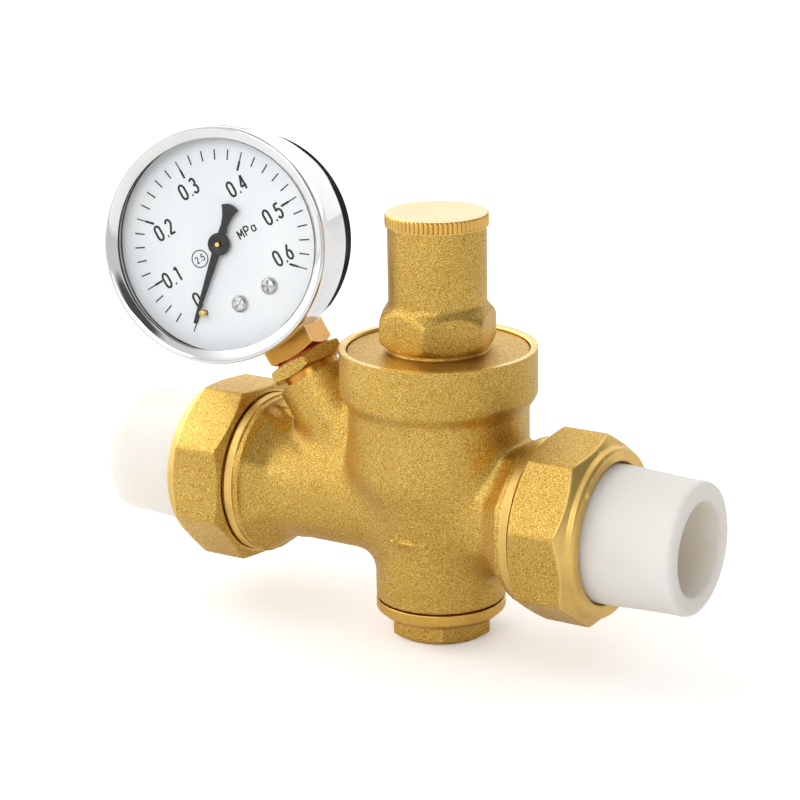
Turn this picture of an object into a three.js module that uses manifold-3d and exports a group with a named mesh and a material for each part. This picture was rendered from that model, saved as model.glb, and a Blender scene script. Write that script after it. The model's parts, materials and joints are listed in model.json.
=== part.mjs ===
// Pressure reducing valve with a pressure gauge and two union ends for 20 mm PP-R pipe.
// Millimetres, +Z up. The origin is where the pipe axis (X) crosses the upright valve axis (Z).
// Water enters at +X and leaves at -X. The gauge sits on the outlet arm and reads its pressure.
import * as THREE from "three";
import { mergeVertices } from "three/addons/utils/BufferGeometryUtils.js";
import Module from "manifold-3d";

const wasm = await Module();
wasm.setup();

// ---- driving dimensions ----

const { degToRad } = THREE.MathUtils;
const FULL_TURN = 2 * Math.PI;
const HALF_OCTAGON = Math.PI / 8;
const HALF_HEXAGON = Math.PI / 6;
const GAP = 0.3; // between a piece and the neighbour that it is cut by or turns in
const FIT = 0.1; // between faces that are stacked on each other
const OVERLAP = 0.1; // how far two solids run into each other before they are joined
const BEVEL = 0.3; // on machined edges

const CASTING = {
  drumRadius: 20.65,
  drumTop: 34.1,
  drumFoot: 24.2,
  waist: 18.9,
  waistTop: 21.7,
  waistFoot: 10,
  neck: 13.7,
  neckTop: -6,
  bottom: -20.24,
  armRadius: 12.6,
  boss: { across: 30.4, innerAcross: 25.8, length: 11.5 },
  collar: { radius: 17.4, width: 2.05, gap: 0.45 },
  threadRadius: 16.5,
  boreRadius: 8.6,
};
const RIB = { length: 16, width: 2.2, height: 8, middle: 11.3, fromNut: 3 };
const DRUM_BORE = { radius: 19.1, floor: 25.0 };
const CHAMBER = {
  upperRadius: 15.4,
  upperFloor: 7,
  throat: 9,
  throatTop: 15.1,
  lowerRadius: 9.5,
  lowerRoof: 1,
};
const SEAT = { orifice: 5.4, outer: 7.2, bottom: 0.4, top: 7.6, bevel: 0.6 };
const CLOSING_TRAVEL = 2.5; // how far the stem rises from fully open to shut
const DISC_TOP = SEAT.bottom - CLOSING_TRAVEL;

// Where each straight bore starts, and the sloping passage from it into the chamber as [x, z].
const INLET_PASSAGE = { boreStart: 16, from: [22, 0], to: [6, -7], radius: 6.2 };
const OUTLET_PASSAGE = { boreStart: 20, from: [-24, 0], to: [-8, 13], radius: 6.6 };

const DIAPHRAGM = { bottom: DRUM_BORE.floor, thickness: 1.6, radius: 18.7 };
const ROLL = { centre: 13.1, half: 1.1, depth: 1.2, steps: 3 };
const DIAPHRAGM_TOP = DIAPHRAGM.bottom + DIAPHRAGM.thickness;
const SLIP_RING = { inner: 15.0, thickness: 0.6 };
const UPPER_PLATE = {
  bottom: DIAPHRAGM_TOP + FIT,
  radius: 11.4,
  rim: 1.2,
  hub: 5.4,
  hubFoot: 1.6,
  height: 4.0,
};
const LOWER_PLATE = { top: DIAPHRAGM.bottom - FIT, radius: 11.0, foot: 10.2, thickness: 1.6, rim: 1.0 };
const STEM_RADIUS = 2.2;
const STEM = { foot: -16.4, shoulderRadius: 3.4, headReach: 8.2, point: 0.4 };
const HOLDER = { radius: 7.6, bore: 6.95, footRadius: 5.6, floor: DISC_TOP - 1.8, height: 3.4, lip: 0.3 };
const STEM_NUT = { across: 7, tall: 3.2, low: 2.6, bevel: 0.5 };

// Distance from the valve axis to the face of each union nut that looks at the casting.
const UNION = { inlet: 26.3, outlet: 44.0 };
const NUT = {
  across: 37.3,
  length: 14.6,
  bore: 16.9,
  mouth: 17.6,
  shoulder: 12.2,
  hole: 14.8,
  collar: 17.65,
};
const NUT_CORNER = { inlet: degToRad(-11), outlet: degToRad(25.5) };
const TAIL = {
  start: 10.2,
  length: 34.0,
  flange: 15.9,
  flangeWidth: 1.8,
  root: 14.35,
  tip: 13.75,
  socket: 9.75,
};
const SOCKET_DEPTH = 14.5;
const WATERWAY = 6.6;
const GASKET = { outer: 15.8, thickness: 1.7 };

const BONNET = {
  flangeRadius: 18.8,
  flangeTop: 33.5,
  hexAcross: 22,
  hexBottom: 33.9,
  hexTop: 42.6,
  corner: degToRad(16.7),
  radius: 10.2,
  bore: 8.5,
  top: 59.9,
  recessRadius: 14.4,
  recess: 2.2,
  throat: 12.2,
  throatTop: 4.9,
};
const CAP_SEAL = { inner: 8.7, outer: 9.2, bottom: 59.45, top: 59.95 };
const CAP = { radius: 10.67, bottom: 60.0, top: 62.4, teeth: 60, toothDepth: 0.35, spigot: 8.15, reach: 3.4 };
const SPRING = { radius: 6.7, wire: 0.85, turns: 7, closedTurn: 0.55 };
const UPPER_SEAT = { bottom: 47.4, top: 49.0, radius: 7.9, noseRadius: 4.6, nose: 2.2 };
const ADJUSTER = { radius: 8.15, root: 7.7, height: 6.4, hex: 6, hexDepth: 4, nose: 1.0 };

const PLUG = {
  flange: 13.8,
  flangeTop: -20.5,
  flangeFoot: -22.6,
  hexAcross: 20.3,
  hexTop: -24.3,
  foot: -28.4,
  corner: degToRad(32),
  thread: 10.3,
  threadLength: 7,
  guideRadius: 5,
  guideLength: 8.4,
  washerOuter: 12.9,
};

// The gauge stands on a line that leans towards the outlet, rooted on the pipe axis.
const STEM_LINE = { foot: -15.1, lean: degToRad(-34), boss: 8.25, bossTop: 28.2, port: 2 };
const ADAPTER = {
  across: 16,
  bottom: 30.0,
  top: 33.0,
  neck: 6.1,
  corner: degToRad(35.7),
  thread: 4.6,
  threadFoot: 19,
  socket: 3.2,
  socketFoot: 21.9,
};
const ADAPTER_WASHER = { inner: 4.9, outer: 7.6, thickness: 0.3 };
const GAUGE = { centre: 61.5, turn: degToRad(15), dial: 9.8, sealOuter: 6.2 };
const BLOCK = {
  across: 11.2,
  foot: 33.5,
  chamferStart: 5.6,
  chamferEnd: 7.9,
  chamfer: 0.9,
  post: 4.2,
  spigot: 2.8,
  port: 1,
};
const BLOCK_HEAD = { width: 10.6, depth: 8, height: 7, below: 16.2 };
const CASE = {
  radius: 24.0,
  wall: 0.9,
  rim: 11.8,
  taperStart: -0.7,
  backRadius: 22.75,
  back: -8.3,
  corner: 1.6,
};
const BEZEL = { outer: 25.1, opening: 22.3, front: 14.85, lip: 13.7, skirtEnd: 11.2, skirtBore: 24.3 };
const LENS = { radius: 23.5, bottom: 12.4, top: 13.4 };
const LENS_GASKET = { inner: 22.5, outer: 23.6, bottom: 11.85, top: 12.35 };
const DIAL = { radius: 22.7, thickness: 0.6, centreHole: 1.6, screwHole: 1.1 };
const DIAL_SCREWS = [[-2.85, -12.9], [4.9, -12.9]];
const SCREW = { radius: 0.8, foot: 7.0, head: 1.85, headHeight: 1.1, slotLength: 2.4, slotWidth: 0.45 };
const STOP_PIN = { x: -10.75, y: -10.65, radius: 0.45, head: 0.75, bottom: 8.6, top: 12.1 };
const POINTER = {
  bottom: 11.0,
  thickness: 0.35,
  length: 17.8,
  tip: 0.3,
  root: 1.0,
  waist: 0.8,
  waistAt: -4.2,
  flareAt: -6.6,
  tailHalf: 2.0,
  tailAt: -8.2,
  tailEnd: -9.6,
  hub: 2.4,
  hubBottom: 10.7,
  hubTop: 11.7,
  bore: 0.75,
};
const POINTER_REST = degToRad(130.3); // turned anticlockwise from straight up
const POINTER_SWING = 265.3; // degrees from the zero mark to the last mark

const MOVEMENT = { backPlate: 4.2, frontPlate: 7.9, plateThickness: 0.6, sector: 5.85, sectorPivot: -9.0 };
const PLATE = {
  halfWidth: 7,
  foot: -14.8,
  shoulder: 1.5,
  top: 4.6,
  topHalf: 3.5,
  pivotHole: 0.7,
  screwHole: 1.0,
};
const PILLAR = { radius: 0.9, x: 5.4, y: 3.0 };
const ARBOR = { radius: 0.5, bottom: 4.6, sectorTop: 8.3, pointerTop: 12.1 };
const PINION = { radius: 1.5, teeth: 12, bottom: 5.4, top: 7.4 };
const SECTOR = {
  radius: 7.5,
  teeth: 60,
  halfArc: 32,
  thickness: 0.8,
  halfWaist: 1.4,
  halfTail: 1.0,
  tailEnd: -4.6,
};
const TOOTH = 0.22;
const BACKLASH = 0.1;
const HALF_SECTOR_SWING = degToRad(POINTER_SWING / 2 * PINION.radius / SECTOR.radius);
const SECTOR_TAIL = 3.6; // from the sector's pivot to the hole for the link
const HAIRSPRING = { turns: 3, steps: 30, start: 1.0, pitch: 0.85, half: 0.09, bottom: 5.05, top: 5.3 };
const TUBE = { radius: 17, depth: 7, thickness: 2, start: -112, end: -352, centre: 0.4 };
const TIP_ANGLE = degToRad(TUBE.end - 3.2);
const TIP = new THREE.Vector2(TUBE.radius * Math.cos(TIP_ANGLE), TUBE.radius * Math.sin(TIP_ANGLE));
const TIP_CAP = { length: 3.4, width: 1.6, pin: 0.3 };
const LINK = { height: 5.1, thickness: 0.4, half: 0.95, slotHalf: 0.55, slotLength: 3, pin: 0.33 };

// ---- looks ----

const CAST_BRASS = { color: 0xcda850, roughness: 0.55, metalness: 1 };
const TURNED_BRASS = { color: 0xd9ab45, roughness: 0.28, metalness: 1 };
const CHROME = { color: 0xe4e6e8, roughness: 0.08, metalness: 1 };
const STEEL = { color: 0xb9bcc0, roughness: 0.3, metalness: 1 };
const PPR = { color: 0xede8e2, roughness: 0.42, metalness: 0 };
const RUBBER = { color: 0x1c1c1e, roughness: 0.8, metalness: 0 };
const FIBRE = { color: 0xb5542c, roughness: 0.85, metalness: 0 };
const GLASS = { color: 0xf4f8fa, roughness: 0.03, metalness: 0, transparent: true, opacity: 0.2 };
const DIAL_WHITE = { color: 0xe6eef5, roughness: 0.6, metalness: 0 };
const BLACK_PAINT = { color: 0x17181a, roughness: 0.45, metalness: 0 };

// ---- solids ----

function piece(name, geometry, look) {
  const mesh = new THREE.Mesh(geometry, new THREE.MeshStandardMaterial(look));
  mesh.name = name;
  return mesh;
}

function assembly(...members) {
  const group = new THREE.Group();
  group.add(...members);
  return group;
}

// A body of revolution about +Z. The outline lists [radius, height] points anticlockwise.
// With few sides it is a prism, with one corner at the angle "corner" from -Y towards +X.
function turned(outline, sides = 24, corner = 0) {
  const points = outline.map(([radius, height]) => new THREE.Vector2(radius, height));
  return new THREE.LatheGeometry(points, sides, corner).rotateX(Math.PI / 2);
}

function disc(radius, low, high, sides = 20) {
  return turned([[0, low], [radius, low], [radius, high], [0, high]], sides);
}

function ring(inner, outer, low, high, sides = 24) {
  return turned([[inner, low], [outer, low], [outer, high], [inner, high], [inner, low]], sides);
}

// A prism whose opposite flats are "across" apart.
function flats(count, across, low, high, corner = 0) {
  const radius = across / 2 / Math.cos(Math.PI / count);
  return turned([[0, low], [radius, low], [radius, high], [0, high]], count, corner);
}

// A flat plate of the given shape, between two heights.
function plate(shape, low, high, curveSegments = 6) {
  const settings = { depth: high - low, bevelEnabled: false, curveSegments };
  return new THREE.ExtrudeGeometry(shape, settings).translate(0, 0, low);
}

function roundHole(x, y, radius) {
  return new THREE.Path().absarc(x, y, radius, 0, FULL_TURN, true);
}

// A round wire along a curve.
function wire(curve, radius, steps, sides = 6) {
  const section = new THREE.Shape().absarc(0, 0, radius, 0, FULL_TURN, false);
  const settings = { steps, extrudePath: curve, curveSegments: sides / 2, bevelEnabled: false };
  return new THREE.ExtrudeGeometry(section, settings);
}

function manifoldOf(geometry) {
  const bare = geometry.clone();
  bare.deleteAttribute("normal");
  bare.deleteAttribute("uv");
  const merged = mergeVertices(bare, 1e-4);
  const index = merged.index.array;
  const kept = [];
  for (let i = 0; i < index.length; i += 3) {
    const [a, b, c] = [index[i], index[i + 1], index[i + 2]];
    if (a !== b && b !== c && c !== a) kept.push(a, b, c);
  }
  return new wasm.Manifold(new wasm.Mesh({
    numProp: 3,
    vertProperties: new Float32Array(merged.attributes.position.array),
    triVerts: new Uint32Array(kept),
  }));
}

function geometryOf(manifold) {
  const mesh = manifold.getMesh();
  const geometry = new THREE.BufferGeometry();
  geometry.setAttribute("position", new THREE.BufferAttribute(mesh.vertProperties, 3));
  geometry.setIndex(new THREE.BufferAttribute(mesh.triVerts, 1));
  geometry.computeVertexNormals();
  return geometry;
}

function joined(...geometries) {
  return geometryOf(geometries.map(manifoldOf).reduce((sum, next) => sum.add(next)));
}

function cut(base, ...tools) {
  return geometryOf(tools.map(manifoldOf).reduce((rest, tool) => rest.subtract(tool), manifoldOf(base)));
}

function common(first, second) {
  return geometryOf(manifoldOf(first).intersect(manifoldOf(second)));
}

// ---- placing ----

// Turns a piece made about +Z so that it points along +X (side 1) or -X (side -1).
function alongPipe(geometry, side) {
  return geometry.rotateY(side * Math.PI / 2);
}

// Puts a piece made about +Z on the line that carries the gauge.
function onStemLine(geometry) {
  return geometry.rotateY(STEM_LINE.lean).translate(STEM_LINE.foot, 0, 0);
}

// A round passage between two points in the XZ plane, with ball ends.
function passage(from, to, radius) {
  const start = new THREE.Vector3(from[0], 0, from[1]);
  const end = new THREE.Vector3(to[0], 0, to[1]);
  const direction = end.clone().sub(start);
  const tube = new THREE.CylinderGeometry(radius, radius, direction.length(), 16);
  const upright = new THREE.Vector3(0, 1, 0);
  tube.applyQuaternion(new THREE.Quaternion().setFromUnitVectors(upright, direction.clone().normalize()));
  tube.translate(...start.clone().add(end).multiplyScalar(0.5));
  const elbow = new THREE.SphereGeometry(radius, 16, 8).translate(...end);
  return joined(tube, elbow);
}

// ---- the casting ----

// The waist narrows to the neck along half a cosine wave.
function funnel() {
  const steps = 5;
  const { waist, waistFoot, neck, neckTop } = CASTING;
  return Array.from({ length: steps + 1 }, (_, i) => {
    const part = i / steps;
    const radius = neck + (waist - neck) * (0.5 - 0.5 * Math.cos(Math.PI * part));
    return [radius, neckTop + (waistFoot - neckTop) * part];
  });
}

function columnShape() {
  const { bottom, neck, waist, waistTop, drumRadius, drumFoot, drumTop } = CASTING;
  return turned([
    [0, bottom],
    [neck - BEVEL, bottom],
    [neck, bottom + BEVEL],
    ...funnel(),
    [waist, waistTop],
    [drumRadius, drumFoot],
    [drumRadius, drumTop - BEVEL],
    [drumRadius - BEVEL, drumTop],
    [0, drumTop],
  ], 32);
}

// One arm: pipe, eight-sided boss for a wrench, collar and the threaded end inside the nut.
function armShape(side, nutFace) {
  const { armRadius, boss, collar, threadRadius } = CASTING;
  const collarEnd = nutFace - collar.gap;
  const collarStart = collarEnd - collar.width;
  const corner = (across) => across / 2 / Math.cos(HALF_OCTAGON);
  const pipe = disc(armRadius, 0, collarEnd, 24);
  const wrenchBoss = turned([
    [0, collarStart - boss.length],
    [corner(boss.innerAcross), collarStart - boss.length],
    [corner(boss.across), collarStart + OVERLAP],
    [0, collarStart + OVERLAP],
  ], 8, HALF_OCTAGON);
  const collarDisc = disc(collar.radius, collarStart, collarEnd, 28);
  const thread = disc(threadRadius, collarEnd - OVERLAP, nutFace + TAIL.start - 2.0, 28);
  return alongPipe(joined(pipe, wrenchBoss, collarDisc, thread), side);
}

function castingRib() {
  const { length, width, height, middle, fromNut } = RIB;
  const along = UNION.outlet - fromNut - length / 2;
  return new THREE.BoxGeometry(length, width, height).translate(-along, 0, middle);
}

// The chambers, passages and threads that are cut out of the casting.
function castingHollows() {
  const { upperRadius, upperFloor, throat, throatTop, lowerRadius, lowerRoof } = CHAMBER;
  const { bottom, drumTop, boreRadius } = CASTING;
  const straight = ({ boreStart }, nutFace, side) => {
    return alongPipe(disc(boreRadius, boreStart, nutFace + 10, 16), side);
  };
  const sloping = ({ from, to, radius }) => passage(from, to, radius);
  return [
    disc(DRUM_BORE.radius, DRUM_BORE.floor, drumTop + 1, 32),
    disc(upperRadius, throatTop - OVERLAP, DRUM_BORE.floor + 1, 16),
    turned([[0, upperFloor], [throat, upperFloor], [upperRadius, throatTop], [0, throatTop]], 16),
    disc(SEAT.outer + GAP, lowerRoof - 1, upperFloor + 1, 16),
    disc(lowerRadius, bottom + 8, lowerRoof, 16),
    disc(PLUG.thread + GAP, bottom - 1, bottom + 8 + OVERLAP, 16),
    straight(INLET_PASSAGE, UNION.inlet, 1),
    straight(OUTLET_PASSAGE, UNION.outlet, -1),
    sloping(INLET_PASSAGE),
    sloping(OUTLET_PASSAGE),
    onStemLine(disc(ADAPTER.thread + GAP, 17.5, STEM_LINE.bossTop + 1, 20)),
    onStemLine(disc(STEM_LINE.port, 5, 17.6, 12)),
  ];
}

function valveBody() {
  const gaugeBoss = onStemLine(disc(STEM_LINE.boss, 0, STEM_LINE.bossTop, 16));
  const solid = joined(
    columnShape(),
    armShape(1, UNION.inlet),
    armShape(-1, UNION.outlet),
    gaugeBoss,
    castingRib(),
  );
  return cut(solid, ...castingHollows());
}

// ---- seat, stem and diaphragm ----

function seatRing() {
  const { orifice, outer, bottom, top, bevel } = SEAT;
  return turned([
    [orifice + bevel, bottom],
    [outer - bevel, bottom],
    [outer, bottom + bevel],
    [outer, top],
    [orifice, top],
    [orifice, bottom + bevel],
    [orifice + bevel, bottom],
  ], 16);
}

// Rubber disc with a rolled ring between its clamped rim and its plates.
function diaphragm() {
  const { bottom, thickness, radius } = DIAPHRAGM;
  const { centre, half, depth, steps } = ROLL;
  const roll = (base, from, to) => Array.from({ length: steps + 1 }, (_, i) => {
    const offset = from + (to - from) * i / steps;
    const rise = depth * Math.cos(offset / half * Math.PI / 2);
    return [centre + offset, base + rise];
  });
  return turned([
    [STEM_RADIUS + GAP, bottom],
    ...roll(bottom, -half, half),
    [radius, bottom],
    [radius, bottom + thickness],
    ...roll(bottom + thickness, half, -half),
    [STEM_RADIUS + GAP, bottom + thickness],
    [STEM_RADIUS + GAP, bottom],
  ], 20);
}

function slipRing() {
  const low = DIAPHRAGM_TOP + FIT;
  return ring(SLIP_RING.inner, DIAPHRAGM.radius, low, low + SLIP_RING.thickness, 20);
}

function upperPlate() {
  const { bottom, radius, rim, hub, hubFoot, height } = UPPER_PLATE;
  return turned([
    [STEM_RADIUS + FIT, bottom],
    [radius, bottom],
    [radius, bottom + rim],
    [hub, bottom + hubFoot],
    [hub, bottom + height],
    [STEM_RADIUS + FIT, bottom + height],
    [STEM_RADIUS + FIT, bottom],
  ], 16);
}

function lowerPlate() {
  const { top, radius, foot, thickness, rim } = LOWER_PLATE;
  return turned([
    [STEM_RADIUS + FIT, top - thickness],
    [foot, top - thickness],
    [radius, top - rim],
    [radius, top],
    [STEM_RADIUS + FIT, top],
    [STEM_RADIUS + FIT, top - thickness],
  ], 16);
}

// Valve rod: guide pin at the foot, shoulder under the lower plate, thread at the head.
function stem() {
  const { foot, shoulderRadius, headReach, point } = STEM;
  const shoulder = LOWER_PLATE.top - LOWER_PLATE.thickness - FIT;
  const head = UPPER_PLATE.bottom + headReach;
  return turned([
    [0, foot],
    [STEM_RADIUS - point, foot],
    [STEM_RADIUS, foot + point],
    [STEM_RADIUS, shoulder - 3.0],
    [shoulderRadius, shoulder - 2.2],
    [shoulderRadius, shoulder],
    [STEM_RADIUS, shoulder],
    [STEM_RADIUS, head - point],
    [STEM_RADIUS - point, head],
    [0, head],
  ], 12);
}

function hexNut(low, high) {
  const half = STEM_NUT.across / 2;
  const corners = half / Math.cos(HALF_HEXAGON) + OVERLAP;
  const trimmed = turned([
    [0, low],
    [half, low],
    [corners, low + STEM_NUT.bevel],
    [corners, high - STEM_NUT.bevel],
    [half, high],
    [0, high],
  ], 12);
  const body = common(flats(6, STEM_NUT.across, low, high), trimmed);
  return cut(body, disc(STEM_RADIUS + FIT, low - 1, high + 1, 12));
}

// Brass cup that carries the seat disc from below.
function discHolder() {
  const { radius, bore, footRadius, floor, height, lip } = HOLDER;
  return turned([
    [STEM_RADIUS + FIT, floor - height],
    [footRadius, floor - height],
    [radius, floor - height + 1.4],
    [radius, DISC_TOP - lip],
    [bore, DISC_TOP - lip],
    [bore, floor],
    [STEM_RADIUS + FIT, floor],
    [STEM_RADIUS + FIT, floor - height],
  ], 16);
}

function discSeal() {
  return ring(STEM_RADIUS + FIT, HOLDER.bore - FIT / 2, HOLDER.floor + FIT / 2, DISC_TOP, 16);
}

function trim() {
  const plateNut = UPPER_PLATE.bottom + UPPER_PLATE.height + FIT;
  const discNut = HOLDER.floor - HOLDER.height - FIT;
  return assembly(
    piece("seat_ring", seatRing(), STEEL),
    piece("diaphragm", diaphragm(), RUBBER),
    piece("slip_ring", slipRing(), TURNED_BRASS),
    piece("lower_spring_seat", upperPlate(), TURNED_BRASS),
    piece("diaphragm_plate", lowerPlate(), TURNED_BRASS),
    piece("valve_stem", stem(), STEEL),
    piece("stem_nut", hexNut(plateNut, plateNut + STEM_NUT.tall), STEEL),
    piece("disc_holder", discHolder(), TURNED_BRASS),
    piece("disc_seal", discSeal(), RUBBER),
    piece("disc_nut", hexNut(discNut - STEM_NUT.low, discNut), STEEL),
  );
}

// ---- spring housing ----

function springBonnet() {
  const { flangeRadius, flangeTop, hexAcross, hexBottom, hexTop, corner, radius, bore, top } = BONNET;
  const { recessRadius, recess, throat, throatTop } = BONNET;
  const flangeBottom = DIAPHRAGM_TOP + FIT + SLIP_RING.thickness + FIT;
  const corners = hexAcross / 2 / Math.cos(HALF_HEXAGON) + OVERLAP;
  const flange = turned([
    [0, flangeBottom],
    [flangeRadius - BEVEL, flangeBottom],
    [flangeRadius, flangeBottom + BEVEL],
    [flangeRadius, flangeTop - BEVEL],
    [flangeRadius - BEVEL, flangeTop],
    [hexAcross / 2, flangeTop],
    [hexAcross / 2 - BEVEL, hexBottom + OVERLAP],
    [0, hexBottom + OVERLAP],
  ], 32);
  const hexTrim = turned([
    [0, hexBottom],
    [hexAcross / 2 - BEVEL, hexBottom],
    [corners, hexBottom + 2.0],
    [corners, hexTop - 2.3],
    [hexAcross / 2 + 1.2, hexTop - 1.1],
    [radius + 0.7, hexTop],
    [0, hexTop],
  ], 24);
  const hex = common(flats(6, hexAcross, hexBottom, hexTop + 1, corner), hexTrim);
  const barrel = turned([
    [0, hexTop - 2.6],
    [radius + 0.9, hexTop - BEVEL],
    [radius, hexTop + 0.8],
    [radius, top - BEVEL],
    [radius - BEVEL, top],
    [0, top],
  ], 28);
  const springSpace = turned([
    [0, flangeBottom - 1],
    [recessRadius, flangeBottom - 1],
    [recessRadius, flangeBottom + recess],
    [throat, flangeBottom + throatTop],
    [0, flangeBottom + throatTop],
  ], 30);
  const springBore = disc(bore, flangeBottom + throatTop - OVERLAP, top + 1, 24);
  const sealSpace = disc(CAP_SEAL.outer + FIT, CAP_SEAL.bottom - 0.05, top + 1, 24);
  return cut(joined(flange, hex, barrel), springSpace, springBore, sealSpace);
}

// Helix of round wire with a flat closed turn at each end.
class SpringCurve extends THREE.Curve {
  constructor(radius, low, high, turns, pitchless) {
    super();
    Object.assign(this, { radius, low, high, turns, pitchless });
  }

  getPoint(t, target = new THREE.Vector3()) {
    const turn = this.turns * t;
    const active = this.turns - 2 * this.pitchless;
    const rise = THREE.MathUtils.clamp((turn - this.pitchless) / active, 0, 1);
    const angle = FULL_TURN * turn;
    return target.set(
      this.radius * Math.cos(angle),
      this.radius * Math.sin(angle),
      this.low + (this.high - this.low) * rise,
    );
  }
}

function controlSpring() {
  const { radius, wire: wireRadius, turns, closedTurn } = SPRING;
  const low = UPPER_PLATE.bottom + UPPER_PLATE.hubFoot + FIT + wireRadius;
  const high = UPPER_SEAT.bottom - FIT - wireRadius;
  return wire(new SpringCurve(radius, low, high, turns, closedTurn), wireRadius, turns * 8);
}

function upperSpringSeat() {
  const { bottom, top, radius, noseRadius, nose } = UPPER_SEAT;
  return turned([
    [0, bottom - nose],
    [noseRadius, bottom - nose],
    [noseRadius + 0.6, bottom],
    [radius, bottom],
    [radius, top],
    [0, top],
  ], 16);
}

// Threaded disc with a hexagon socket for the setting key, and a nose on the spring seat.
function adjustingScrew() {
  const { radius, root, height, hex, hexDepth, nose } = ADJUSTER;
  const low = UPPER_SEAT.top + FIT;
  const high = low + height;
  const body = turned([
    [0, low],
    [1.6, low],
    [2.4, low + nose],
    [root, low + nose],
    [radius, low + nose + 0.5],
    [radius, high - 0.5],
    [root, high],
    [0, high],
  ], 20);
  return cut(body, flats(6, hex, high - hexDepth, high + 1));
}

// Straight-knurled cap on a threaded spigot that closes the spring housing.
function adjusterCap() {
  const { radius, bottom, top, teeth, toothDepth, spigot, reach } = CAP;
  const outline = Array.from({ length: teeth * 2 }, (_, i) => {
    const tooth = radius - (i % 2) * toothDepth;
    const angle = FULL_TURN * i / (teeth * 2);
    return new THREE.Vector2(tooth * Math.cos(angle), tooth * Math.sin(angle));
  });
  const knurl = plate(new THREE.Shape(outline), bottom, top - BEVEL);
  const face = disc(radius - toothDepth, top - BEVEL - OVERLAP, top, 28);
  const thread = disc(spigot, bottom - reach, bottom + OVERLAP, 24);
  return joined(knurl, face, thread);
}

function springHousing() {
  const seal = ring(CAP_SEAL.inner, CAP_SEAL.outer, CAP_SEAL.bottom, CAP_SEAL.top, 24);
  return assembly(
    piece("spring_bonnet", springBonnet(), CAST_BRASS),
    piece("control_spring", controlSpring(), STEEL),
    piece("upper_spring_seat", upperSpringSeat(), TURNED_BRASS),
    piece("adjusting_screw", adjustingScrew(), TURNED_BRASS),
    piece("cap_seal", seal, RUBBER),
    piece("adjuster_cap", adjusterCap(), TURNED_BRASS),
  );
}

// ---- bottom plug ----

function bottomPlug() {
  const { flange, flangeTop, flangeFoot, hexAcross, hexTop, foot, corner } = PLUG;
  const { thread, threadLength, guideRadius, guideLength } = PLUG;
  const { bottom } = CASTING;
  const corners = hexAcross / 2 / Math.cos(HALF_HEXAGON) + OVERLAP;
  const head = turned([
    [0, hexTop - OVERLAP],
    [hexAcross / 2 + 0.5, hexTop],
    [flange, flangeFoot],
    [flange, flangeTop - 0.2],
    [flange - 0.2, flangeTop],
    [0, flangeTop],
  ], 28);
  const hexTrim = turned([
    [0, foot],
    [hexAcross / 2 - BEVEL, foot],
    [corners, foot + 1.4],
    [corners, hexTop + OVERLAP],
    [0, hexTop + OVERLAP],
  ], 28);
  const hex = common(flats(6, hexAcross, foot, hexTop + OVERLAP, corner), hexTrim);
  const shank = turned([
    [0, flangeTop - OVERLAP],
    [thread, flangeTop - OVERLAP],
    [thread, bottom + threadLength - 0.6],
    [thread - 0.6, bottom + threadLength],
    [guideRadius, bottom + threadLength],
    [guideRadius, bottom + guideLength],
    [0, bottom + guideLength],
  ], 24);
  const guide = disc(STEM_RADIUS + GAP, bottom + 1, bottom + 9, 20);
  return cut(joined(head, hex, shank), guide);
}

function bottomClosure() {
  const washer = ring(PLUG.thread + 0.2, PLUG.washerOuter, PLUG.flangeTop + 0.03, CASTING.bottom - 0.03, 28);
  return assembly(
    piece("bottom_plug", bottomPlug(), TURNED_BRASS),
    piece("plug_washer", washer, FIBRE),
  );
}

// ---- unions ----

// Eight-sided nut: turned faces, a collar on the outer end, thread bore and an inner shoulder.
function unionNut(corner) {
  const { across, length, bore, mouth, shoulder, hole, collar } = NUT;
  const corners = across / 2 / Math.cos(HALF_OCTAGON) + OVERLAP;
  const outside = turned([
    [0, 0],
    [17.9, 0],
    [corners, 1.2],
    [corners, 11.3],
    [collar, 12.9],
    [collar, length - 0.5],
    [collar - 0.45, length],
    [0, length],
  ], 24);
  const inside = turned([
    [0, -1],
    [mouth, -1],
    [mouth, 0],
    [bore, mouth - bore],
    [bore, shoulder],
    [hole, shoulder],
    [hole, length + 1],
    [0, length + 1],
  ], 28);
  return cut(common(flats(8, across, 0, length, corner), outside), inside);
}

// Plastic tail: flange held by the nut, slightly tapered barrel, socket for the pipe.
function unionTail() {
  const { start, length, flange, root, tip, socket, flangeWidth } = TAIL;
  const stop = length - SOCKET_DEPTH;
  return turned([
    [WATERWAY, start],
    [flange, start],
    [flange, start + flangeWidth],
    [root, start + flangeWidth],
    [root, NUT.length + 3],
    [tip, length - 5],
    [tip, length - 1.3],
    [tip - 0.4, length - 0.4],
    [tip - 1.3, length],
    [socket + 0.4, length],
    [socket, length - 0.5],
    [socket, stop],
    [WATERWAY, stop],
    [WATERWAY, start],
  ], 24);
}

function unionEnd(name, side, nutFace, corner) {
  const { outer, thickness } = GASKET;
  const gasket = ring(CASTING.boreRadius + 0.6, outer, TAIL.start - FIT - thickness, TAIL.start - FIT, 30);
  const end = assembly(
    piece(`${name}_union_nut`, unionNut(corner), CAST_BRASS),
    piece(`${name}_union_tail`, unionTail(), PPR),
    piece(`${name}_union_gasket`, gasket, RUBBER),
  );
  for (const member of end.children) member.position.z = nutFace;
  end.rotation.y = side * Math.PI / 2;
  return end;
}

// ---- gauge: on its own line, heights counted from the pipe axis ----

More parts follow.
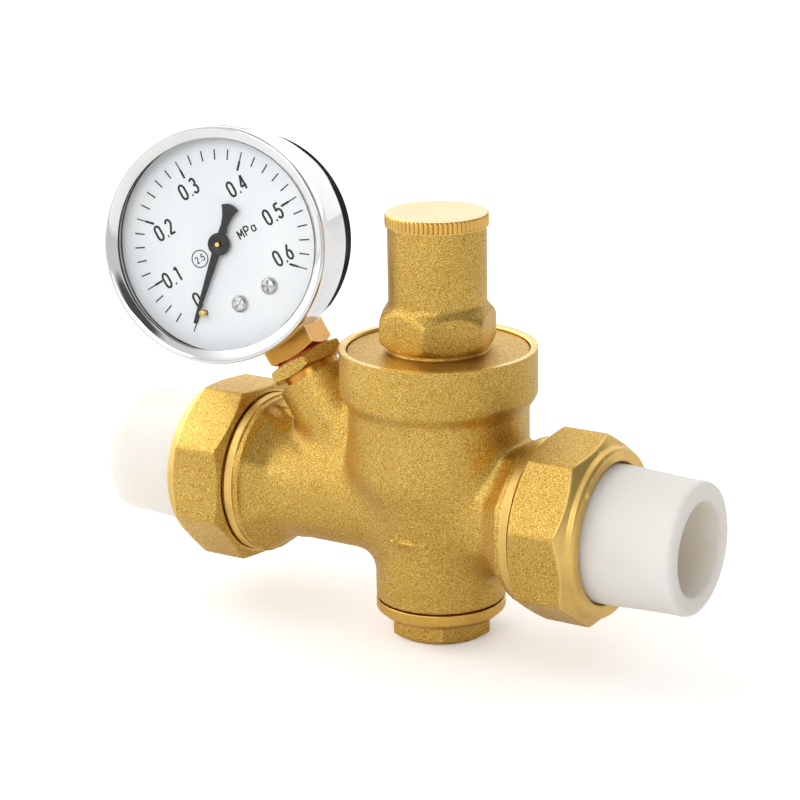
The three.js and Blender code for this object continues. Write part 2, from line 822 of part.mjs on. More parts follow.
function gaugeAdapter() {
  const { across, bottom, top, neck, corner, thread, threadFoot, socket, socketFoot } = ADAPTER;
  const neckFoot = STEM_LINE.bossTop + 0.4;
  const corners = across / 2 / Math.cos(HALF_HEXAGON) + OVERLAP;
  const hexTrim = turned([
    [0, bottom],
    [across / 2 - 0.2, bottom],
    [corners, bottom + 0.5],
    [corners, top - 0.5],
    [across / 2 - 0.2, top],
    [0, top],
  ], 16);
  const hex = common(flats(6, across, bottom, top, corner), hexTrim);
  const shank = turned([
    [0, threadFoot],
    [thread, threadFoot],
    [thread, neckFoot],
    [neck, neckFoot],
    [neck, bottom + OVERLAP],
    [0, bottom + OVERLAP],
  ], 16);
  const port = disc(STEM_LINE.port, threadFoot - 1, socketFoot + OVERLAP, 12);
  return cut(joined(hex, shank), port, disc(socket, socketFoot, top + 1, 16));
}

// The outside of the case from its back to its rim, grown by a margin. The back part tapers.
function caseOutline(margin = 0) {
  const { radius, rim, taperStart, backRadius, back, corner } = CASE;
  return [
    [0, back - margin],
    [backRadius + margin - corner, back - margin],
    [backRadius + margin - 0.33, back + 0.4],
    [backRadius + margin + 0.26, back + corner],
    [radius + margin, taperStart],
    [radius + margin, rim],
  ];
}

// Square foot with a wrench fit, a spigot down into the adapter and a head inside the case.
function gaugeBlock() {
  const { centre, turn } = GAUGE;
  const { across, foot, chamferStart, chamferEnd, chamfer, post, spigot, port } = BLOCK;
  const reach = centre - CASE.radius + 4;
  const footTrim = turned([
    [0, foot],
    [chamferStart, foot],
    [chamferEnd, foot + chamfer],
    [chamferEnd, reach],
    [0, reach],
  ], 24);
  const square = common(flats(4, across, foot, reach, Math.PI / 4), footTrim);
  const caseSpace = turned([...caseOutline(FIT), [0, CASE.rim]]).rotateX(Math.PI / 2).translate(0, 0, centre);
  const { width, depth, height, below } = BLOCK_HEAD;
  const head = new THREE.BoxGeometry(width, depth, height).translate(0, 0, centre - below);
  return cut(
    joined(cut(square, caseSpace), disc(post, foot + 1, centre - 18), head, disc(spigot, 24, foot + 1)),
    disc(port, 23, centre - 14, 12),
  ).rotateZ(turn);
}

// ---- gauge: dial frame, X to the dial's right, Y up the stem line, Z out of the dial ----

function gaugeCase() {
  const { radius, wall, rim, taperStart, backRadius, back, corner } = CASE;
  const shell = turned([
    ...caseOutline(),
    [radius - wall, rim],
    [radius - wall, taperStart],
    [backRadius - wall, back + corner],
    [backRadius - corner - wall / 2, back + wall],
    [0, back + wall],
  ], 24);
  const hole = BLOCK.post + GAP;
  const stemHole = new THREE.CylinderGeometry(hole, hole, 10, 20).translate(0, -radius, 0);
  return cut(shell, stemHole);
}

function gaugeBezel() {
  const { outer, opening, front, lip, skirtEnd, skirtBore } = BEZEL;
  return turned([
    [skirtBore, skirtEnd],
    [outer - 0.2, skirtEnd],
    [outer, skirtEnd + 0.3],
    [outer, front - 0.5],
    [outer - 0.2, front - 0.12],
    [outer - 0.6, front],
    [outer - 1.0, front - 0.1],
    [opening, lip],
    [opening, lip - 0.25],
    [skirtBore, lip - 0.25],
    [skirtBore, skirtEnd],
  ], 30);
}

function gaugeDial() {
  const { radius, thickness, centreHole, screwHole } = DIAL;
  const shape = new THREE.Shape().absarc(0, 0, radius, 0, FULL_TURN, false);
  shape.holes.push(roundHole(0, 0, centreHole));
  shape.holes.push(roundHole(STOP_PIN.x, STOP_PIN.y, 0.6));
  for (const [x, y] of DIAL_SCREWS) shape.holes.push(roundHole(x, y, screwHole));
  return plate(shape, GAUGE.dial - thickness, GAUGE.dial, 8);
}

// Pan head with a cross slot, and a shank into the movement.
function dialScrew(x, y) {
  const { radius, foot, head, headHeight, slotLength, slotWidth } = SCREW;
  const seat = GAUGE.dial + 0.05;
  const top = seat + headHeight;
  const body = turned([
    [0, foot],
    [radius, foot],
    [radius, seat],
    [head, seat],
    [head, seat + 0.4],
    [head - 0.55, top - 0.15],
    [0, top],
  ], 12);
  const slot = () => new THREE.BoxGeometry(slotLength, slotWidth, 1).translate(0, 0, top);
  return cut(body, slot(), slot().rotateZ(Math.PI / 2)).translate(x, y, 0);
}

function stopPin() {
  const { x, y, radius, head, bottom, top } = STOP_PIN;
  return turned([
    [0, bottom],
    [radius, bottom],
    [radius, top - 0.2],
    [head, top - 0.1],
    [head, top],
    [0, top],
  ], 12).translate(x, y, 0);
}

// Tapered arm, round hub and a flared tail, drawn straight up and turned to the zero mark.
function pointer() {
  const { bottom, thickness, length, tip, root, hub, hubBottom, hubTop, bore } = POINTER;
  const { waist, waistAt, flareAt, tailHalf, tailAt, tailEnd } = POINTER;
  const arm = new THREE.Shape();
  arm.moveTo(-root, 0);
  arm.lineTo(-tip, length);
  arm.lineTo(tip, length);
  arm.lineTo(root, 0);
  arm.lineTo(waist, waistAt);
  arm.quadraticCurveTo(root, flareAt, tailHalf, tailAt);
  arm.quadraticCurveTo(0, tailEnd, -tailHalf, tailAt);
  arm.quadraticCurveTo(-root, flareAt, -waist, waistAt);
  const blade = plate(arm, bottom, bottom + thickness, 5);
  const boss = turned([
    [0, hubBottom],
    [hub, hubBottom],
    [hub, hubTop - 0.2],
    [hub - 0.3, hubTop],
    [0, hubTop],
  ], 16);
  return cut(joined(blade, boss), disc(bore, hubBottom - 1, hubTop + 1, 12)).rotateZ(POINTER_REST);
}

// ---- gauge movement ----

function pointerShaft() {
  const { teeth, radius } = PINION;
  const outline = Array.from({ length: teeth * 2 }, (_, i) => {
    const reach = radius + (i % 2 ? TOOTH : -TOOTH) - BACKLASH;
    const angle = FULL_TURN * (i + 0.5) / (teeth * 2);
    return new THREE.Vector2(reach * Math.cos(angle), reach * Math.sin(angle));
  });
  const gear = plate(new THREE.Shape(outline), PINION.bottom, PINION.top);
  const arbor = disc(ARBOR.radius, ARBOR.bottom, ARBOR.pointerTop, 10);
  return joined(gear, arbor);
}

// Toothed quadrant on its pivot, with a tail for the link. It starts turned by half its swing.
function sectorGear() {
  const { sector, sectorPivot } = MOVEMENT;
  const { radius, teeth, halfArc, thickness, halfWaist, halfTail, tailEnd } = SECTOR;
  const step = 360 / teeth / 2;
  const outline = [[halfWaist, 0]];
  const count = Math.round(halfArc / step);
  for (let i = -count; i <= count; i += 1) {
    const angle = degToRad(i * step);
    const reach = radius + (i % 2 ? -TOOTH : TOOTH) - BACKLASH;
    outline.push([-reach * Math.sin(angle), reach * Math.cos(angle)]);
  }
  outline.push([-halfWaist, 0], [-halfTail, tailEnd], [halfTail, tailEnd]);
  const shape = new THREE.Shape(outline.map(([x, y]) => new THREE.Vector2(x, y)));
  shape.holes.push(roundHole(0, -SECTOR_TAIL, 0.45));
  const arbor = disc(ARBOR.radius, ARBOR.bottom, ARBOR.sectorTop, 10);
  return joined(plate(shape, sector, sector + thickness), arbor)
    .rotateZ(-HALF_SECTOR_SWING)
    .translate(0, sectorPivot, 0);
}

function movementPlate(low, withScrews) {
  const { halfWidth, foot, shoulder, top, topHalf, pivotHole, screwHole } = PLATE;
  const shape = new THREE.Shape();
  shape.moveTo(-halfWidth, foot);
  shape.lineTo(halfWidth, foot);
  shape.lineTo(halfWidth, shoulder);
  shape.quadraticCurveTo(halfWidth - 0.4, top - 0.2, topHalf, top);
  shape.lineTo(-topHalf, top);
  shape.quadraticCurveTo(0.4 - halfWidth, top - 0.2, -halfWidth, shoulder);
  shape.holes.push(roundHole(0, 0, pivotHole));
  shape.holes.push(roundHole(0, MOVEMENT.sectorPivot, pivotHole));
  if (withScrews) {
    for (const [x, y] of DIAL_SCREWS) shape.holes.push(roundHole(x, y, screwHole));
  }
  return plate(shape, low, low + MOVEMENT.plateThickness);
}

function movementPillar(x) {
  const { backPlate, frontPlate, plateThickness } = MOVEMENT;
  return disc(PILLAR.radius, backPlate + plateThickness, frontPlate, 12).translate(x, PILLAR.y, 0);
}

// Flat spiral of strip round the pointer shaft.
function hairspring() {
  const { turns, steps, start, pitch, half, bottom, top } = HAIRSPRING;
  const edge = (offset) => Array.from({ length: steps + 1 }, (_, i) => {
    const reach = start + pitch * turns * i / steps + offset;
    const angle = FULL_TURN * turns * i / steps;
    return new THREE.Vector2(reach * Math.cos(angle), reach * Math.sin(angle));
  });
  const shape = new THREE.Shape([...edge(half), ...edge(-half).reverse()]);
  return plate(shape, bottom, top);
}

class ArcCurve extends THREE.Curve {
  constructor(radius, from, to, height) {
    super();
    Object.assign(this, { radius, from, to, height });
  }

  getPoint(t, target = new THREE.Vector3()) {
    const angle = degToRad(this.from + (this.to - this.from) * t);
    return target.set(this.radius * Math.cos(angle), this.radius * Math.sin(angle), this.height);
  }
}

// Flattened C-shaped tube that straightens under pressure.
function bourdonTube() {
  const section = new THREE.Shape().absellipse(0, 0, TUBE.depth / 2, TUBE.thickness / 2, 0, FULL_TURN, false);
  const path = new ArcCurve(TUBE.radius, TUBE.start, TUBE.end, TUBE.centre);
  const settings = { steps: 20, extrudePath: path, curveSegments: 3, bevelEnabled: false };
  return new THREE.ExtrudeGeometry(section, settings);
}

// End cap of the tube, with a pin for the link.
function tubeTip() {
  const cap = new THREE.BoxGeometry(TIP_CAP.length, TIP_CAP.width, TUBE.depth + 1).rotateZ(TIP_ANGLE);
  const pin = disc(TIP_CAP.pin, TUBE.centre, LINK.height + LINK.thickness + BEVEL, 8);
  return joined(cap.translate(TIP.x, TIP.y, TUBE.centre), pin.translate(TIP.x, TIP.y, 0));
}

// Strip from the tail of the toothed quadrant to the tube's tip. The tip end is slotted, and the
// tail end has a pin that turns in the quadrant.
function linkStrip() {
  const { height, thickness, half, slotHalf, slotLength, pin } = LINK;
  const tail = new THREE.Vector2(0, -SECTOR_TAIL).rotateAround(new THREE.Vector2(), -HALF_SECTOR_SWING);
  tail.y += MOVEMENT.sectorPivot;
  const reach = TIP.clone().sub(tail);
  const length = reach.length();
  const strip = new THREE.Shape();
  strip.absarc(0, 0, half, Math.PI / 2, Math.PI * 1.5, false);
  strip.absarc(length, 0, half, -Math.PI / 2, Math.PI / 2, false);
  const slot = new THREE.Path();
  slot.absarc(length, 0, slotHalf, Math.PI / 2, -Math.PI / 2, true);
  slot.absarc(length - slotLength, 0, slotHalf, -Math.PI / 2, -Math.PI * 1.5, true);
  strip.holes.push(slot);
  const pivot = disc(pin, height + OVERLAP, MOVEMENT.sector + SECTOR.thickness + OVERLAP, 8);
  return joined(plate(strip, height, height + thickness, 4), pivot)
    .rotateZ(reach.angle())
    .translate(tail.x, tail.y, 0);
}

function gaugeDialGroup() {
  const gasket = ring(LENS_GASKET.inner, LENS_GASKET.outer, LENS_GASKET.bottom, LENS_GASKET.top, 24);
  const dialGroup = assembly(
    piece("gauge_case", gaugeCase(), CHROME),
    piece("gauge_bezel", gaugeBezel(), CHROME),
    piece("gauge_lens", disc(LENS.radius, LENS.bottom, LENS.top, 24), GLASS),
    piece("lens_gasket", gasket, RUBBER),
    piece("gauge_dial", gaugeDial(), DIAL_WHITE),
    ...DIAL_SCREWS.map(([x, y], i) => piece(`dial_screw_${i + 1}`, dialScrew(x, y), STEEL)),
    piece("stop_pin", stopPin(), TURNED_BRASS),
    piece("pointer", pointer(), BLACK_PAINT),
    piece("pointer_shaft", pointerShaft(), TURNED_BRASS),
    piece("sector_gear", sectorGear(), TURNED_BRASS),
    piece("movement_back_plate", movementPlate(MOVEMENT.backPlate, false), TURNED_BRASS),
    piece("movement_front_plate", movementPlate(MOVEMENT.frontPlate, true), TURNED_BRASS),
    piece("movement_pillar_1", movementPillar(-PILLAR.x), TURNED_BRASS),
    piece("movement_pillar_2", movementPillar(PILLAR.x), TURNED_BRASS),
    piece("hairspring", hairspring(), STEEL),
    piece("bourdon_tube", bourdonTube(), TURNED_BRASS),
    piece("tube_tip", tubeTip(), TURNED_BRASS),
    piece("gauge_link", linkStrip(), TURNED_BRASS),
  );
  dialGroup.rotation.x = Math.PI / 2;
  return dialGroup;
}

function gaugeOnItsLine() {
  const head = assembly(gaugeDialGroup());
  head.position.z = GAUGE.centre;
  head.rotation.z = GAUGE.turn;
  const { inner, outer, thickness } = ADAPTER_WASHER;
  const washerFoot = STEM_LINE.bossTop + FIT / 2;
  const washer = ring(inner, outer, washerFoot, washerFoot + thickness, 24);
  const seal = ring(ADAPTER.socket - FIT, GAUGE.sealOuter, ADAPTER.top + FIT, BLOCK.foot - FIT, 28);
  const line = assembly(
    piece("adapter_washer", washer, FIBRE),
    piece("gauge_adapter", gaugeAdapter(), TURNED_BRASS),
    piece("gauge_seal", seal, FIBRE),
    piece("gauge_block", gaugeBlock(), TURNED_BRASS),
    head,
  );
  line.position.x = STEM_LINE.foot;
  line.rotation.y = STEM_LINE.lean;
  return line;
}

// ---- the whole valve ----

export default assembly(
  piece("valve_body", valveBody(), CAST_BRASS),
  trim(),
  springHousing(),
  bottomClosure(),
  unionEnd("inlet", 1, UNION.inlet, NUT_CORNER.inlet),
  unionEnd("outlet", -1, UNION.outlet, NUT_CORNER.outlet),
  gaugeOnItsLine(),
);
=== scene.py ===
"""Looks of a brass pressure reducing valve with a pressure gauge and two plastic pipe tails.

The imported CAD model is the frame. Lengths in this file are millimetres in each piece's own frame,
and a placing matrix turns them into metres in the shared frame. Heights run along local Z.
"""

import itertools
import json
import math
from math import cos, pi, radians, sin, sqrt
from types import SimpleNamespace as Sizes

import bmesh
import bpy
import numpy as np
from mathutils import Matrix, Vector


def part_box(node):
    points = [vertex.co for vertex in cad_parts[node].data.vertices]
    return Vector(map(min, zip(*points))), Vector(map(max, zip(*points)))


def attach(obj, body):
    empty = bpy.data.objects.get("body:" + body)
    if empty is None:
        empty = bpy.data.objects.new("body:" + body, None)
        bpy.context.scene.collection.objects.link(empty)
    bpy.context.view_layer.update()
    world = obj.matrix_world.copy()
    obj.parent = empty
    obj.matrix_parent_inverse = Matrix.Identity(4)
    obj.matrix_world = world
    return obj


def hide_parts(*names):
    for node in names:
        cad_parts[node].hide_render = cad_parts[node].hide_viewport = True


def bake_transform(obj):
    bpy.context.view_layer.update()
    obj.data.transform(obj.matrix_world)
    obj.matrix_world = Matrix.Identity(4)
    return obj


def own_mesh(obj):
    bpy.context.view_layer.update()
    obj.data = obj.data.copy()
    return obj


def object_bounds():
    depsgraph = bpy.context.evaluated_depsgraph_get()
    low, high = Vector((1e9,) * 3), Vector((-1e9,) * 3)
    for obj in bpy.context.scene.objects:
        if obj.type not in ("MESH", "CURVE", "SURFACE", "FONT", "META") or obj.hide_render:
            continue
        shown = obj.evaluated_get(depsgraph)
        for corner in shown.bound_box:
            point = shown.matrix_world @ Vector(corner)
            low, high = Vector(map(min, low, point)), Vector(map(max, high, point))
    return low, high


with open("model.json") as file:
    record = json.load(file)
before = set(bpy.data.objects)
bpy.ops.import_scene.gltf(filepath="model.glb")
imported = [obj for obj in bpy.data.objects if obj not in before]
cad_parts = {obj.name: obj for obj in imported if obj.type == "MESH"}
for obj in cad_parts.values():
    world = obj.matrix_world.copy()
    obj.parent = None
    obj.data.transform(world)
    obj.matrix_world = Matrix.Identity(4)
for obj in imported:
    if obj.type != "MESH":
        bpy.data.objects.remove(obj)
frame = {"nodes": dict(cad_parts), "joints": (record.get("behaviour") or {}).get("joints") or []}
cad_low, cad_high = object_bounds()

FULL_TURN = 2 * pi
MM = 0.001

# ---- places, read from the frame ----


def joint(name):
    return next(j for j in frame["joints"] if j["name"] == name)


def span(node, axis):
    """Lowest and highest coordinate of a CAD node along an axis (0, 1 or 2), in millimetres."""
    low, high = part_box(node)
    return low[axis] / MM, high[axis] / MM


DIAL_CENTRE = Vector(joint("pointer_turn")["pos_m"])
STEM_LEAN = radians(-34)  # the line that carries the gauge leans towards the outlet
GAUGE_TURN = 15  # and the dial is turned round that line, in degrees
DIAL_REACH = DIAL_CENTRE.z / cos(STEM_LEAN) / MM  # from the pipe axis to the dial centre
STEM_FOOT = DIAL_CENTRE.x / MM - DIAL_REACH * sin(STEM_LEAN)

INLET_FACE = span("inlet_union_nut", 0)[0]
OUTLET_FACE = -span("outlet_union_nut", 0)[1]
CASTING_FOOT, DRUM_TOP = span("valve_body", 2)
GROUND = cad_low.z

METRES = Matrix.Scale(MM, 4)


def shifted(x=0, y=0, z=0):
    return Matrix.Translation((x, y, z))


def spun(degrees, axis="Z"):
    return Matrix.Rotation(radians(degrees), 4, axis)


def direction(azimuth, elevation):
    """Unit vector from the valve. Azimuth 0 is along -Y and 90 along +X."""
    a, e = radians(azimuth), radians(elevation)
    return Vector((sin(a) * cos(e), -cos(a) * cos(e), sin(e)))


UPRIGHT = METRES
AT_INLET = METRES @ shifted(x=INLET_FACE) @ spun(90, "Y")
AT_OUTLET = METRES @ shifted(x=-OUTLET_FACE) @ spun(-90, "Y")
ON_STEM = METRES @ shifted(x=STEM_FOOT) @ Matrix.Rotation(STEM_LEAN, 4, "Y")
ON_GAUGE = ON_STEM @ spun(GAUGE_TURN)
ON_DIAL = ON_GAUGE @ shifted(z=DIAL_REACH) @ spun(90, "X")

# ---- outlines ----


def rounded(outline, closed, steps=4):
    """Points (radius, height) or (radius, height, size); a size rounds that corner."""
    done = []
    count = len(outline)
    for i, point in enumerate(outline):
        corner = Vector(point[:2])
        at_end = not closed and i in (0, count - 1)
        if len(point) < 3 or at_end:
            done.append(corner)
            continue
        start = corner + (Vector(outline[i - 1][:2]) - corner).normalized() * point[2]
        end = corner + (Vector(outline[(i + 1) % count][:2]) - corner).normalized() * point[2]
        for step in range(steps + 1):
            t = step / steps
            done.append(start * (1 - t) ** 2 + corner * 2 * t * (1 - t) + end * t**2)
    return done


def divided(points, closed, longest):
    """The same outline with no stretch longer than the given length."""
    ends = points[1:] + points[:1] if closed else points[1:]
    done = []
    for start, end in zip(points, ends):
        pieces = max(1, math.ceil((end - start).length / longest))
        done += [start.lerp(end, i / pieces) for i in range(pieces)]
    return done if closed else done + [points[-1]]


def soft_less(a, b, blend):
    """The smaller of two values, with a smooth change from one to the other."""
    near = np.maximum(blend - np.abs(a - b), 0) / blend
    return np.minimum(a, b) - near * near * blend / 4


def soft_more(a, b, blend):
    """The larger of two values, with a smooth change."""
    return -soft_less(-a, -b, blend)


def flats(count, across, corner, low=-1e3, high=1e3, softness=0.3):
    """Limits a turned piece to a prism between two heights. One corner is at an angle from -Y."""

    def limit(radius, angle, height):
        sector = FULL_TURN / count
        off_middle = np.mod(angle - radians(corner), sector) - sector / 2
        cut = soft_less(radius, across / 2 / np.cos(off_middle), softness)
        return np.where((height > low) & (height < high), cut, radius)

    return limit


def thread(pitch, depth, low, high):
    """A screw thread on a turned piece between two heights."""

    def wave(radius, angle, height):
        phase = FULL_TURN * (height / pitch) - angle
        fade = np.clip(np.minimum(height - low, high - height) / pitch * 1.4, 0, 1)
        return radius + depth / 2 * fade * np.clip(1.6 * np.cos(phase), -1, 1)

    return wave


def knurl(teeth, depth, low, high):
    """Straight grooves cut in the rim between two heights."""

    def groove(radius, angle, height):
        valley = np.abs(np.sin(angle * teeth / 2)) ** 0.7
        cut = radius - depth * (1 - valley)
        return np.where((height > low) & (height < high), cut, radius)

    return groove


# ---- meshes ----

SHARP = 32  # degrees between two faces that make an edge crisp
TINY = 1e-6


def put(name, data):
    """A new object in the scene."""
    made = bpy.data.objects.new(name, data)
    bpy.context.scene.collection.objects.link(made)
    return made


def drawn_mesh(name, made):
    """The mesh that was drawn, with the drawing freed."""
    mesh = bpy.data.meshes.new(name)
    made.to_mesh(mesh)
    made.free()
    return mesh


def finished(name, mesh, place, sharp=SHARP):
    """Puts a mesh in the scene at its place, with smooth faces and crisp edges."""
    mesh.transform(place)
    made = bmesh.new()
    made.from_mesh(mesh)
    bmesh.ops.recalc_face_normals(made, faces=made.faces)
    made.to_mesh(mesh)
    made.free()
    mesh.name = name
    mesh.polygons.foreach_set("use_smooth", [True] * len(mesh.polygons))
    mesh.set_sharp_from_angle(angle=radians(sharp))
    return put(name, mesh)


def from_faces(name, vertices, faces, place, sharp=SHARP):
    mesh = bpy.data.meshes.new(name)
    mesh.from_pydata(vertices, [], faces)
    return finished(name, mesh, place, sharp)


def turned(name, place, outline, sides, closed=False, shaping=(), longest=None, sharp=SHARP):
    """A body of revolution about local Z. An open outline starts and ends on the axis."""
    points = rounded(outline, closed)
    if longest:
        points = divided(points, closed, longest)
    angle = np.arange(sides) * FULL_TURN / sides
    rings, vertices, faces = [], [], []
    for radius, height in points:
        first = len(vertices)
        if radius < TINY:
            vertices.append((0, 0, height))
            rings.append([first] * sides)
            continue
        reach = np.full(sides, radius)
        for shape in shaping:
            reach = shape(reach, angle, height)
        vertices += zip(reach * np.sin(angle), -reach * np.cos(angle), np.full(sides, height))
        rings.append(list(range(first, first + sides)))
    pairs = list(zip(rings, rings[1:])) + ([(rings[-1], rings[0])] if closed else [])
    for lower, upper in pairs:
        for i in range(sides):
            j = (i + 1) % sides
            corners = dict.fromkeys((lower[i], lower[j], upper[j], upper[i]))
            if len(corners) > 2:
                faces.append(tuple(corners))
    return from_faces(name, vertices, faces, place, sharp)


def slab(name, place, outline, low, high, bevel=0.0):
    """A flat plate of a drawn outline, with its edges softened by the bevel."""
    made = bmesh.new()
    base = [made.verts.new((x, y, low)) for x, y in outline]
    face = made.faces.new(base)
    risen = bmesh.ops.extrude_face_region(made, geom=[face])
    upper = [v for v in risen["geom"] if isinstance(v, bmesh.types.BMVert)]
    bmesh.ops.translate(made, verts=upper, vec=(0, 0, high - low))
    if bevel:
        rims = [e for e in made.edges if abs(e.verts[0].co.z - e.verts[1].co.z) < TINY]
        bmesh.ops.bevel(made, geom=rims, offset=bevel, segments=2, affect="EDGES", profile=0.5)
    bmesh.ops.triangulate(made, faces=[f for f in made.faces if len(f.verts) > 4])
    return finished(name, drawn_mesh(name, made), place)


def rod(name, place, radius, low, high, sides, edge=0.1):
    return turned(name, place, [(0, low), (radius, low, edge), (radius, high, edge), (0, high)], sides)


def ring(name, place, inner, outer, low, high, edge, sides):
    corners = [(inner, low, edge), (outer, low, edge), (outer, high, edge), (inner, high, edge)]
    return turned(name, place, corners, sides, closed=True)


def evaluated_mesh(piece):
    bpy.context.view_layer.update()
    return bpy.data.meshes.new_from_object(piece.evaluated_get(bpy.context.evaluated_depsgraph_get()))


def combine(piece, other, operation="DIFFERENCE"):
    """Cuts the other piece out of this one, or joins it, and removes the other."""
    change = piece.modifiers.new("change", "BOOLEAN")
    change.operation = operation
    change.object = other
    change.solver = "MANIFOLD"
    change.material_mode = "TRANSFER"
    mesh = evaluated_mesh(piece)
    piece.modifiers.clear()
    old, piece.data = piece.data, mesh
    mesh.name = piece.name
    bpy.data.meshes.remove(old)
    bpy.data.objects.remove(other)
    mesh.set_sharp_from_angle(angle=radians(SHARP))
    return piece


def joined(name, pieces):
    """Several separate shells as one piece."""
    made = bmesh.new()
    for piece in pieces:
        made.from_mesh(piece.data)
        bpy.data.objects.remove(piece)
    return finished(name, drawn_mesh(name, made), Matrix.Identity(4))


def painted(piece, materials, place=None, test=None):
    """Gives the piece its materials. The second one goes where test(radius, height) is true."""
    piece.data.materials.clear()
    for material in materials:
        piece.data.materials.append(material)
    if test:
        centres = np.array([place.inverted() @ f.center for f in piece.data.polygons])
        chosen = test(np.hypot(centres[:, 0], centres[:, 1]), centres[:, 2])
        piece.data.polygons.foreach_set("material_index", chosen.astype(np.int32))
    return piece


def stands_for(piece, body, slot, *nodes):
    """The piece rides on a body and takes the place of CAD nodes, if any are named."""
    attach(piece, body)
    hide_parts(*nodes)


def fitted(piece, materials, body, slot, *nodes):
    stands_for(painted(piece, materials), body, slot, *nodes)


def washer(name, place, sizes, material, body, slot, node, sides=96):
    """A flat ring. Its sizes are the inner and outer radius, both heights and the rounding."""
    fitted(ring(name, place, *sizes, sides), [material], body, slot, node)


# ---- a smooth skin round a solid that is given as a field ----


SKIN_STEP = 0.4
SETTLING_ROUNDS = 4
LAST_ROUNDS = 2  # moves onto the surface with no more evening out
PROBE = 0.04  # how far apart the slope of a field is measured
EVENING = 0.6


def grid_cells(solid):
    """Cells of a grid that the surface passes through, and the four-sided faces between them."""
    shape = [n - 1 for n in solid.shape]
    corners = np.zeros(shape, int)
    for i, j, k in itertools.product((0, 1), repeat=3):
        corners += solid[i : i + shape[0], j : j + shape[1], k : k + shape[2]]
    mixed = (corners > 0) & (corners < 8)
    number = np.full(shape, -1)
    number[mixed] = np.arange(mixed.sum())
    faces = []
    for axis in range(3):
        near = np.take(solid, range(shape[axis]), axis)
        far = np.take(solid, range(1, shape[axis] + 1), axis)
        edges = np.argwhere(near != far)
        leaving = near[tuple(edges.T)]
        one = np.eye(3, dtype=int)[(axis + 1) % 3]
        two = np.eye(3, dtype=int)[(axis + 2) % 3]
        around = [number[tuple((edges - back).T)] for back in (0 * one, one, one + two, two)]
        quads = np.stack(around, 1)
        quads[~leaving] = quads[~leaving][:, ::-1]
        faces.append(quads)
    return np.argwhere(mixed), np.concatenate(faces)


def settled(points, faces, field, rounds, step):
    """Evens out the points and moves each onto the surface of the field."""
    ends = np.concatenate([faces[:, [i, (i + 1) % 4]] for i in range(4)])
    count = np.bincount(ends.ravel(), minlength=len(points))[:, None]
    for turn in range(rounds + LAST_ROUNDS):
        if turn < rounds:
            total = np.zeros_like(points)
            np.add.at(total, ends[:, 0], points[ends[:, 1]])
            np.add.at(total, ends[:, 1], points[ends[:, 0]])
            points = (1 - EVENING) * points + EVENING * total / count
        value = field(*points.T)
        shifts = np.eye(3) * PROBE
        slope = np.stack([field(*(points + s).T) - field(*(points - s).T) for s in shifts], 1)
        slope /= 2 * PROBE
        steepness = np.maximum((slope**2).sum(1), 0.2)
        move = -(value / steepness)[:, None] * slope
        far = np.linalg.norm(move, axis=1, keepdims=True)
        points = points + move * np.minimum(1, step / np.maximum(far, 1e-9))
    return points


def skin(name, place, field, low, high, step):
    axes = [np.arange(a, b, step) for a, b in zip(low, high)]
    solid = field(*np.meshgrid(*axes, indexing="ij")) < 0
    cells, faces = grid_cells(solid)
    points = (cells + 0.5) * step + np.array(low)
    points = settled(points, faces, field, SETTLING_ROUNDS, step)
    return from_faces(name, points.tolist(), faces.tolist(), place)


# ---- material nodes ----


def add_node(tree, kind, inputs=(), **settings):
    """A new node. Its inputs are linked where a socket is given, and set otherwise."""
    node = tree.nodes.new("ShaderNode" + kind)
    for key, value in settings.items():
        setattr(node, key, value)
    for key, value in dict(inputs).items():
        if isinstance(value, bpy.types.NodeSocket):
            tree.links.new(value, node.inputs[key])
        else:
            node.inputs[key].default_value = value
    return node


